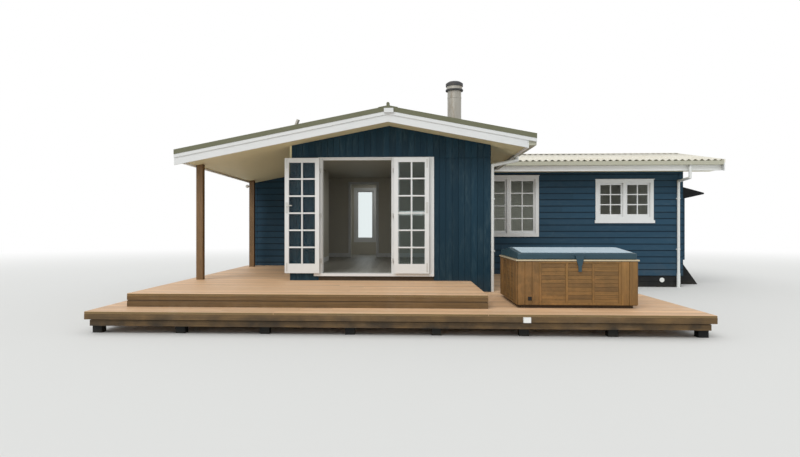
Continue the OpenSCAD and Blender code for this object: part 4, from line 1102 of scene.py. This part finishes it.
class HOUSE_OT_roofing(bpy.types.Operator):
    """Makes the corrugated sheets of both roofs and the battens that they lie on."""

    bl_idname = "house.roofing"
    bl_label = "Roofing"

    def sheets(self, gable, start, end, run, normal=None):
        """Corrugated slope from a ridge down one side, cut at a valley where its normal is given."""
        size = sizes()
        bm = new_bmesh()
        steps = 8
        count = int((end - start) / size.wave * steps)
        step = (end - start) / count
        row = []
        for i in range(count + 1):
            z = RIDGE + size.wave_depth / 2 * (math.cos(i / steps * 2 * math.pi) - 1)
            u = start + i * step
            row.append(bm.verts.new(place(RIDGE_X, u, z) if gable else place(u, WING_RIDGE_Y, z)))
        edges = [bm.edges.new(pair) for pair in zip(row, row[1:])]
        grown = bmesh.ops.extrude_edge_only(bm, edges=edges)
        moved = [v for v in grown["geom"] if isinstance(v, bmesh.types.BMVert)]
        slope = (run, 0, -abs(run) * GABLE_FALL) if gable else (0, run, -abs(run) * WING_FALL)
        bmesh.ops.translate(bm, verts=moved, vec=slope)
        if normal:
            cut_off(bm, place(RIDGE_X, WING_RIDGE_Y, 0), normal)
        bm.normal_update()
        bmesh.ops.reverse_faces(bm, faces=[f for f in bm.faces if f.normal.z < 0])
        return bm

    def roof(self, slopes, node, finish):
        """One piece of all the slopes of a roof, with the sheets' thickness, in place of its node."""
        bm = new_bmesh()
        for slope in slopes:
            mesh = bpy.data.meshes.new("slope")
            slope.to_mesh(mesh)
            slope.free()
            bm.from_mesh(mesh)
            bpy.data.meshes.remove(mesh)
        obj = piece(bm, node + "_sheets", finish, smooth=True)
        solid = obj.modifiers.new("Thickness", "SOLIDIFY")
        solid.thickness = sizes().sheet_t
        solid.offset = -1
        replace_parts(obj, node)

    def execute(self, context):
        x0, x1, y0, y1, _, _ = plan_box("front_roof")
        slopes = [
            self.sheets(True, y0, y1, x0 - RIDGE_X),
            self.sheets(True, y0, WING_RIDGE_Y, x1 - RIDGE_X, valley_normal(1)),
            self.sheets(True, WING_RIDGE_Y, y1, x1 - RIDGE_X, valley_normal(-1)),
        ]
        self.roof(slopes, "front_roof", "Olive roofing")
        end, run = plan_box("wing_roof")[1], WING_RUN + SHEET_OVER
        slopes = [self.sheets(False, RIDGE_X, end, side * run, -valley_normal(-side)) for side in (-1, 1)]
        self.roof(slopes, "wing_roof", "Cream roofing")

        for node in ("front_roof", "wing_roof"):
            bm = new_bmesh()
            bm.from_mesh(NODES[node].data)
            bmesh.ops.remove_doubles(bm, verts=bm.verts[:], dist=0.0001)
            bmesh.ops.translate(bm, verts=bm.verts[:], vec=(0, 0, -sizes().wave_depth - sizes().sheet_t))
            piece(bm, node + "_battens", "Soffit paint")
        return {"FINISHED"}


class HOUSE_OT_glazing_beads(bpy.types.Operator):
    """Adds the putty beads round the panes of the doors and front windows, and the windows' flashings."""

    bl_idname = "house.glazing_beads"
    bl_label = "Glazing beads"

    def beads(self, bm, x0, x1, z0, z1, face, rows):
        """Beads round two columns of panes between two corners, from one depth outwards."""
        wide = (x1 - x0 - BAR) / 2
        high = (z1 - z0 - BAR * (rows - 1)) / rows
        b, far = 0.002, face + 0.011
        for i in range(2):
            for k in range(rows):
                left, low = x0 + i * (wide + BAR), z0 + k * (high + BAR)
                right, top = left + wide, low + high
                slabs(
                    bm,
                    (left, right, face, far, low, low + b),
                    (left, right, face, far, top - b, top),
                    (left, left + b, face, far, low + b, top - b),
                    (right - b, right, face, far, low + b, top - b),
                )

    def execute(self, context):
        stile, bottom, top = 0.072, 0.162, 0.078
        for node, body in (("left_door", "left_leaf"), ("right_door", "right_leaf")):
            x0, x1, y0, y1, z0, z1 = plan_box(node)
            bm = new_bmesh()
            for face in ((y0 + y1) / 2 - 0.014, (y0 + y1) / 2 + 0.003):
                self.beads(bm, x0 + stile, x1 - stile, z0 + bottom, z1 - top, face, 6)
            piece(bm, node + "_beads", "White joinery", body)
        bm = new_bmesh()
        for node, rows in (("large_window", 4), ("small_window", 3)):
            x0, x1, z0, z1 = window_hole(node)
            light = (x1 - x0 - 2 * CASING - MULLION) / 2
            low, high = z0 + CASING + SASH_FOOT, z1 - CASING - SASH
            for i in range(2):
                left = x0 + CASING + SASH + i * (light + MULLION)
                self.beads(bm, left, left + light - 2 * SASH, low, high, ROOM_D + 0.02, rows)
            slab(bm, x0 - 0.015, x1 + 0.015, ROOM_D - 0.05, ROOM_D, z1, z1 + 0.012)
        piece(bm, "window_beads", "White joinery")
        return {"FINISHED"}


class HOUSE_OT_rainwater(bpy.types.Operator):
    """Adds the gutter joints and straps, and the clips and the foot of the downpipes."""

    bl_idname = "house.rainwater"
    bl_label = "Rainwater goods"

    def execute(self, context):
        eave = WING_RIDGE_Y - WING_RUN
        z = wing_top(eave - SHEET_OVER) - ROOF_T - GUTTER_T - GUTTER_H
        front, back, sleeve, strap = eave - 0.15, eave - 0.025, 0.003, 0.018
        bm = new_bmesh()
        for x in (4.9, 6.6, 8.2):
            slab(bm, x, x + 0.05, front - sleeve, back + sleeve, z - sleeve, z + 0.06)
        for x in (4.3, 5.4, 6.1, 7.3, 7.9, 8.6, 9.1):
            slab(bm, x, x + strap, front, back, z + 0.084, z + 0.088)
        piece(bm, "gutter_joints", "Gutter paint")
        bm = new_bmesh()
        pipe_x, pipe_y, half, foot = WING_END - 0.09, ROOM_D - PIPE_OUT, 0.011, 0.33
        for x, y, levels in ((ROOM_W + PIPE_OUT, PIPE_OUT, (1.0, 1.9)), (pipe_x, pipe_y, (0.9, 2.1))):
            for z in levels:
                ring(bm, x, y, 0.037, z - half, z + half)
                slab(bm, x - 0.05, x + 0.05, y + 0.014, y + 0.034, z - half, z + half)
        ring(bm, pipe_x, pipe_y, 0.04, 0.0, foot)
        piece(bm, "pipe_clips", "White pipe")
        return {"FINISHED"}


class HOUSE_OT_spa_tub(bpy.types.Operator):
    """Boards the spa tub and makes its folding cover."""

    bl_idname = "house.spa_tub"
    bl_label = "Spa tub"

    def side(self, face, width, low, high, seed):
        """Corner boards, rails, stiles and slats of one side."""
        rng = random.Random(seed)
        uprights, slats = new_bmesh(), new_bmesh()
        near, far, stile, rail, joint = 0.29, 0.215, 0.032, 0.03, 0.002
        board_t, rail_t, stile_t, slat_foot, slat_head = 0.014, 0.016, 0.015, 0.009, 0.007
        for start, wide, boards in ((0.0, near, 3), (width - far, far, 2)):
            for i in range(boards):
                u = start + i * wide / boards
                tint, end = rng.uniform(-1, 1), u + wide / boards
                face.board(uprights, u + joint, end - joint, low, high, board_t, tint=tint)
        for z in (low, high - rail):
            face.board(uprights, near, width - far, z, z + rail, rail_t, tint=rng.uniform(-1, 1))
        panel = (width - near - far - 4 * stile) / 3
        for i in range(4):
            u = near + i * (panel + stile)
            tint = rng.uniform(-1, 1)
            face.board(uprights, u, u + stile, low + rail, high - rail, stile_t, tint=tint)
        count = round((high - low - 2 * rail) / sizes().slat)
        pitch = (high - low - 2 * rail) / count
        for i in range(3):
            u = near + stile + i * (panel + stile)
            for k in range(count):
                z, tint, end = low + rail + k * pitch, rng.uniform(-1, 1), u + panel
                face.board(slats, u + joint, end - joint, z, z + pitch - 0.003, slat_foot, slat_head, tint)
        return uprights, slats

    def half(self, label, a, b, za, zb):
        """One padded half of the cover between two depths and their two heights, and its top panel."""
        x0, x1, _, _, z0, z1 = plan_box("tub_cover")
        front, left = place(0, a, 0).y, place(x0, 0, 0).x
        rise, sink, swell = 0.009, 0.004, 0.4
        bm = new_bmesh()
        for v in slab(bm, x0, x1, a, b, z0 + 0.002, z1 - 0.004):
            if v.co.z > z0 + 0.03:
                v.co.z = za if v.co.y < front + (b - a) / 2 else zb
        bmesh.ops.subdivide_edges(bm, edges=bm.edges[:], cuts=9, use_grid_fill=True)
        for v in bm.verts:
            u, w = (v.co.x - left) / (x1 - x0), (v.co.y - front) / (b - a)
            crown = max(0.0, math.sin(math.pi * u)) ** swell * max(0.0, math.sin(math.pi * w)) ** swell
            if v.co.z > z0 + 0.06:
                v.co.z += rise * crown - sink
        soften(bm, 0.012, 3)
        half = piece(bm, f"tub_cover_{label}", "Cover vinyl", smooth=True)
        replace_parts(half, "tub_cover")
        # The top panel carries the painted sheen of the sky on the cover
        bm = new_bmesh()
        inset, thick = 0.05, 0.004
        for v in slab(bm, x0 + inset, x1 - inset, a + inset * 0.6, b - inset * 0.6, za, za + thick):
            proud = 0.007 if v.co.z > za + thick / 2 else 0.0
            v.co.z = za + (zb - za) / (b - a) * (v.co.y - front) + proud
        piece(bm, f"tub_cover_panel_{label}", "Cover top sheen vinyl", soft=0.002)

    def flap(self):
        """Locking flap over the front of the cover, with its strap."""
        x0, x1, y0, _, z0, _ = plan_box("tub_cover")
        middle, wide, strap = (x0 + x1) / 2 + 0.032, 0.064, 0.023
        centre = place(middle, 0, 0).x
        bm = new_bmesh()
        for v in slab(bm, middle - wide, middle + wide, y0 - 0.036, y0 - 0.028, z0 - 0.085, z0 + 0.06):
            if v.co.z < z0:
                v.co.x = centre + (v.co.x - centre) * 0.42
        slab(bm, middle - wide, middle + wide, y0 - 0.036, y0 + 0.01, z0 + 0.05, z0 + 0.062)
        slab(bm, middle - strap, middle + strap, y0 - 0.038, y0 - 0.027, z0 - 0.165, z0 - 0.08)
        soften(bm, 0.003, 2)
        piece(bm, "tub_cover_flap", "Cover vinyl")

    def execute(self, context):
        x0, x1, y0, y1, z0, z1 = plan_box("tub_cabinet")
        plinth, shadow = 0.045, 0.004
        for k, (x, y, turn, width) in enumerate(
            ((x0, y0, 0, x1 - x0), (x1, y0, 90, y1 - y0), (x1, y1, 180, x1 - x0), (x0, y1, -90, y1 - y0))
        ):
            uprights, slats = self.side(Wall(x, y, turn), width, z0 + plinth, z1 - shadow, 41 + k)
            piece(uprights, f"tub_frame_{k}", "Upright cedar", soft=0.002)
            piece(slats, f"tub_slats_{k}", "Level cedar")
        _, _, front, back, foot, peak = plan_box("tub_cover")
        middle, edge, peak, fold = (front + back) / 2, foot + 0.088, peak - 0.004, 0.004
        self.half("front", front, middle - fold, edge, peak)
        self.half("back", middle + fold, back, peak, edge)
        self.flap()
        bm = new_bmesh()
        slab(bm, x0 + 0.137, x0 + 0.187, y0 - 0.02, y0 - 0.01, z0 + 0.105, z0 + 0.155)
        piece(bm, "tub_vent", "Dark base", soft=0.003)
        return {"FINISHED"}


class HOUSE_OT_flue_details(bpy.types.Operator):
    """Makes the flue with its flashing and bands, its dark ring and its dark cap."""

    bl_idname = "house.flue_details"
    bl_label = "Flue"

    def rings(self, bm, rows):
        """One ring round the flue's middle for each row: radius, both heights, upper radius."""
        x0, x1, y0, y1, _, _ = plan_box("flue")
        for row in rows:
            ring(bm, (x0 + x1) / 2, (y0 + y1) / 2, *row)

    def execute(self, context):
        top = plan_box("flue")[5] - FLUE_SHORTER
        roof = gable_top(plan_box("flue")[1])
        cap, collar, pipe = new_bmesh(), new_bmesh(), new_bmesh()
        rim = top - 0.035
        self.rings(cap, ((0.163, top - 0.09, rim), (0.163, rim, top, 0.11)))
        piece(cap, "flue_cap", "Flue cap", soft=0.003)
        self.rings(collar, ((0.166, top - 0.178, top - 0.148),))
        piece(collar, "flue_ring", "Flue cap", soft=0.003)
        flashing, shaft = (0.19, roof - 0.01, roof + 0.19, 0.136), (0.13, roof, top - 0.15)
        head = (0.149, top - 0.15, top - 0.088)
        self.rings(pipe, (flashing, shaft, head, (0.133, 3.45, 3.48), (0.133, 3.86, 3.89)))
        soften(pipe, 0.002)
        keep_below(pipe, place(RIDGE_X, 0, RIDGE + 0.001), Vector((-GABLE_FALL, 0, -1)))
        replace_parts(piece(pipe, "flue_pipe", "Flue metal"), "flue")
        return {"FINISHED"}


class HOUSE_OT_base(bpy.types.Operator):
    """Boards the base below the wall boards and adds the round vent."""

    bl_idname = "house.base"
    bl_label = "Base"

    def execute(self, context):
        rng = random.Random(51)
        near, far, left, right = ROOM_D + CLEAR, BACK - CLEAR, LEFT_END + CLEAR, WING_END - CLEAR
        thick, vent_at, vent_r, vent_t = 0.012, place(8.07, ROOM_D, 0.17), 0.055, 0.02
        bm = new_bmesh()
        for face, u0, u1 in (
            (Wall(0, near, 0), ROOM_W + CLEAR, right),
            (Wall(right, 0, 90), near, far),
            (Wall(0, far, 180), -right, -left),
            (Wall(left, 0, -90), -far, -near),
        ):
            for z0, z1 in ((0.0, 0.132), (0.138, 0.268)):
                face.board(bm, u0, u1, z0, z1, thick, tint=rng.uniform(-1, 1))
        piece(bm, "base_cladding", "Dark base", soft=0.002)
        bm = new_bmesh()
        vent = ring(bm, 0.0, 0.0, vent_r, 0.0, vent_t)
        turn = Matrix.Translation(vent_at) @ Matrix.Rotation(math.pi / 2, 4, "X")
        bmesh.ops.transform(bm, matrix=turn @ Matrix.Translation(-CORNER), verts=vent)
        soften(bm, 0.004, 2)
        piece(bm, "base_vent", "White plastic")
        return {"FINISHED"}


class HOUSE_OT_side_door(bpy.types.Operator):
    """Adds the trim, the raised panels and the handle of the door in the wing's end."""

    bl_idname = "house.side_door"
    bl_label = "Side door"

    def execute(self, context):
        _, x, y0, y1, z0, z1 = plan_box("side_door")
        wall, leaf = Wall(WING_END, 0, 90), Wall(x, 0, 90)
        middle, wide, trim_t, panel_t, plate_t, lever_out = (y0 + y1) / 2, 0.06, 0.03, 0.008, 0.006, 0.045
        bm = new_bmesh()
        top = z1 + wide
        for a, b, c, d in ((y0 - wide, y0, z0, top), (y1, y1 + wide, z0, top), (y0, y1, z1, top)):
            wall.board(bm, a, b, c, d, trim_t)
        for a, b in ((y0 + 0.1, middle - 0.04), (middle + 0.04, y1 - 0.1)):
            for c, d in ((z0 + 0.2, z0 + 0.85), (z0 + 1.0, z1 - 0.14)):
                leaf.board(bm, a, b, c, d, panel_t)
        piece(bm, "side_door_trim", "White joinery", soft=0.003)
        bm = new_bmesh()
        leaf.board(bm, y0 + 0.035, y0 + 0.07, z0 + 0.92, z0 + 1.1, plate_t)
        leaf.board(bm, y0 + 0.045, y0 + 0.16, z0 + 1.01, z0 + 1.03, lever_out)
        piece(bm, "side_door_handle", "Satin steel", soft=0.002)
        return {"FINISHED"}


# Stage


def direct_rays(tree):
    """1 for camera, glossy and transmission rays, which see the white background."""
    path = tree.nodes.new("ShaderNodeLightPath").outputs
    first = math_node(tree, "MAXIMUM", path["Is Camera Ray"], path["Is Glossy Ray"])
    return math_node(tree, "MAXIMUM", first, path["Is Transmission Ray"])


def mix_shaders(tree, share, first, second, surface):
    """Feeds a surface from one shader to another by a share."""
    mix = tree.nodes.new("ShaderNodeMixShader")
    for index, value in enumerate((share, first.outputs[0], second.outputs[0])):
        tree.links.new(value, mix.inputs[index])
    tree.links.new(mix.outputs[0], surface)


class HOUSE_OT_stage(bpy.types.Operator):
    """Makes the floor, the lights, the background and the camera."""

    bl_idname = "house.stage"
    bl_label = "Stage"

    def floor(self, scene):
        """Pale floor that goes over into the white background far from the house."""
        bm = bmesh.new()
        bmesh.ops.create_circle(bm, cap_ends=True, radius=60.0, segments=96)
        mesh = bpy.data.meshes.new("floor_stage")
        bm.to_mesh(mesh)
        bm.free()
        floor = bpy.data.objects.new("floor_stage", mesh)
        scene.collection.objects.link(floor)
        tree, matt, coords = blank_material("Pale floor")
        mesh.materials.append(bpy.data.materials["Pale floor"])
        matt.inputs["Base Color"].default_value = (0.72, 0.72, 0.70, 1.0)
        matt.inputs["Roughness"].default_value = 0.9
        glow = tree.nodes.new("ShaderNodeEmission")
        away = tree.nodes.new("ShaderNodeVectorMath")
        away.operation = "LENGTH"
        tree.links.new(coords, away.inputs[0])
        far = smooth_step(tree, away.outputs["Value"], 11.0, 34.0)
        surface = matt.outputs[0].links[0].to_socket
        mix_shaders(tree, times(tree, far, direct_rays(tree)), matt, glow, surface)

    def world(self, scene):
        """White background, and a slightly dimmer, bluer light on the house."""
        world = bpy.data.worlds.new("Studio")
        scene.world = world
        world.use_nodes = True
        tree = world.node_tree
        tree.nodes.clear()
        surface = tree.nodes.new("ShaderNodeOutputWorld").inputs["Surface"]
        seen = new_node(tree, "ShaderNodeBackground", Color=(1.0, 1.0, 1.0))
        lit = new_node(tree, "ShaderNodeBackground", Color=(0.97, 0.985, 1.0), Strength=0.78)
        mix_shaders(tree, direct_rays(tree), lit, seen, surface)

    def lamps(self, scene):
        """Soft sun from the front right, and a lamp that isn't seen in each of three rooms."""
        lamp = bpy.data.lights.new("Soft sun", "SUN")
        lamp.energy = 1.35
        lamp.angle = math.radians(35)
        sun = bpy.data.objects.new("Soft sun", lamp)
        sun.rotation_euler = (math.radians(48), 0, math.radians(-28))
        scene.collection.objects.link(sun)
        for x, y, watts in ((1.7, 2.6, 11.0), (1.7, 6.9, 7.0), (5.6, 6.0, 12.0)):
            panel = bpy.data.lights.new("Room light", "AREA")
            panel.shape = "RECTANGLE"
            panel.size, panel.size_y = 2.2, 1.2
            panel.energy = watts
            inside = bpy.data.objects.new("Room light", panel)
            inside.location = place(x, y, CEILING - 0.04)
            inside.visible_camera = inside.visible_glossy = inside.visible_transmission = False
            scene.collection.objects.link(inside)

    def camera(self, scene):
        """Camera at the photograph's place, level, with its frame shifted sideways."""
        lens = bpy.data.cameras.new("Camera")
        lens.sensor_width = 36.0
        lens.lens = FOCAL_PX / PHOTO_W * lens.sensor_width
        lens.shift_x = (PHOTO_W / 2 - MIDDLE_PX) / PHOTO_W
        camera = bpy.data.objects.new("Camera", lens)
        camera.location = place(*CAMERA_AT)
        camera.rotation_euler = (math.radians(90), 0, CAMERA_TURN)
        scene.collection.objects.link(camera)
        scene.camera = camera

    def execute(self, context):
        scene = context.scene
        self.floor(scene)
        self.world(scene)
        self.lamps(scene)
        self.camera(scene)
        scene.view_settings.view_transform = "Standard"
        return {"FINISHED"}


OPERATORS = (
    HOUSE_OT_finishes,
    HOUSE_OT_stage,
    HOUSE_OT_decking,
    HOUSE_OT_upright_boards,
    HOUSE_OT_weatherboards,
    HOUSE_OT_inside,
    HOUSE_OT_roofing,
    HOUSE_OT_glazing_beads,
    HOUSE_OT_rainwater,
    HOUSE_OT_spa_tub,
    HOUSE_OT_flue_details,
    HOUSE_OT_base,
    HOUSE_OT_side_door,
)


class HOUSE_PT_panel(bpy.types.Panel):
    """Lists the steps that dress the house, with their colours and sizes."""

    bl_idname = "HOUSE_PT_panel"
    bl_label = "Beach house"
    bl_space_type = "VIEW_3D"
    bl_region_type = "UI"
    bl_category = "Beach house"

    def draw(self, context):
        layout = self.layout
        for operator in OPERATORS:
            layout.operator(operator.bl_idname)
        for values in (context.scene.house_colours, context.scene.house_sizes):
            column = layout.column()
            for name in values.__annotations__:
                column.prop(values, name)


CLASSES = (HouseColours, HouseSizes, *OPERATORS, HOUSE_PT_panel)


def register():
    """Registers the classes and the scene's properties."""
    for cls in CLASSES:
        bpy.utils.register_class(cls)
    bpy.types.Scene.house_colours = bpy.props.PointerProperty(type=HouseColours)
    bpy.types.Scene.house_sizes = bpy.props.PointerProperty(type=HouseSizes)


def unregister():
    """Takes the classes and the scene's properties away."""
    del bpy.types.Scene.house_sizes
    del bpy.types.Scene.house_colours
    for cls in reversed(CLASSES):
        bpy.utils.unregister_class(cls)


def main():
    """Dresses the house."""
    register()
    bpy.ops.house.finishes()
    bpy.ops.house.stage()
    bpy.ops.house.decking()
    bpy.ops.house.upright_boards()
    bpy.ops.house.weatherboards()
    bpy.ops.house.inside()
    bpy.ops.house.roofing()
    bpy.ops.house.glazing_beads()
    bpy.ops.house.rainwater()
    bpy.ops.house.spa_tub()
    bpy.ops.house.flue_details()
    bpy.ops.house.base()
    bpy.ops.house.side_door()
    bpy.context.view_layer.update()


if __name__ == "__main__":
    main()
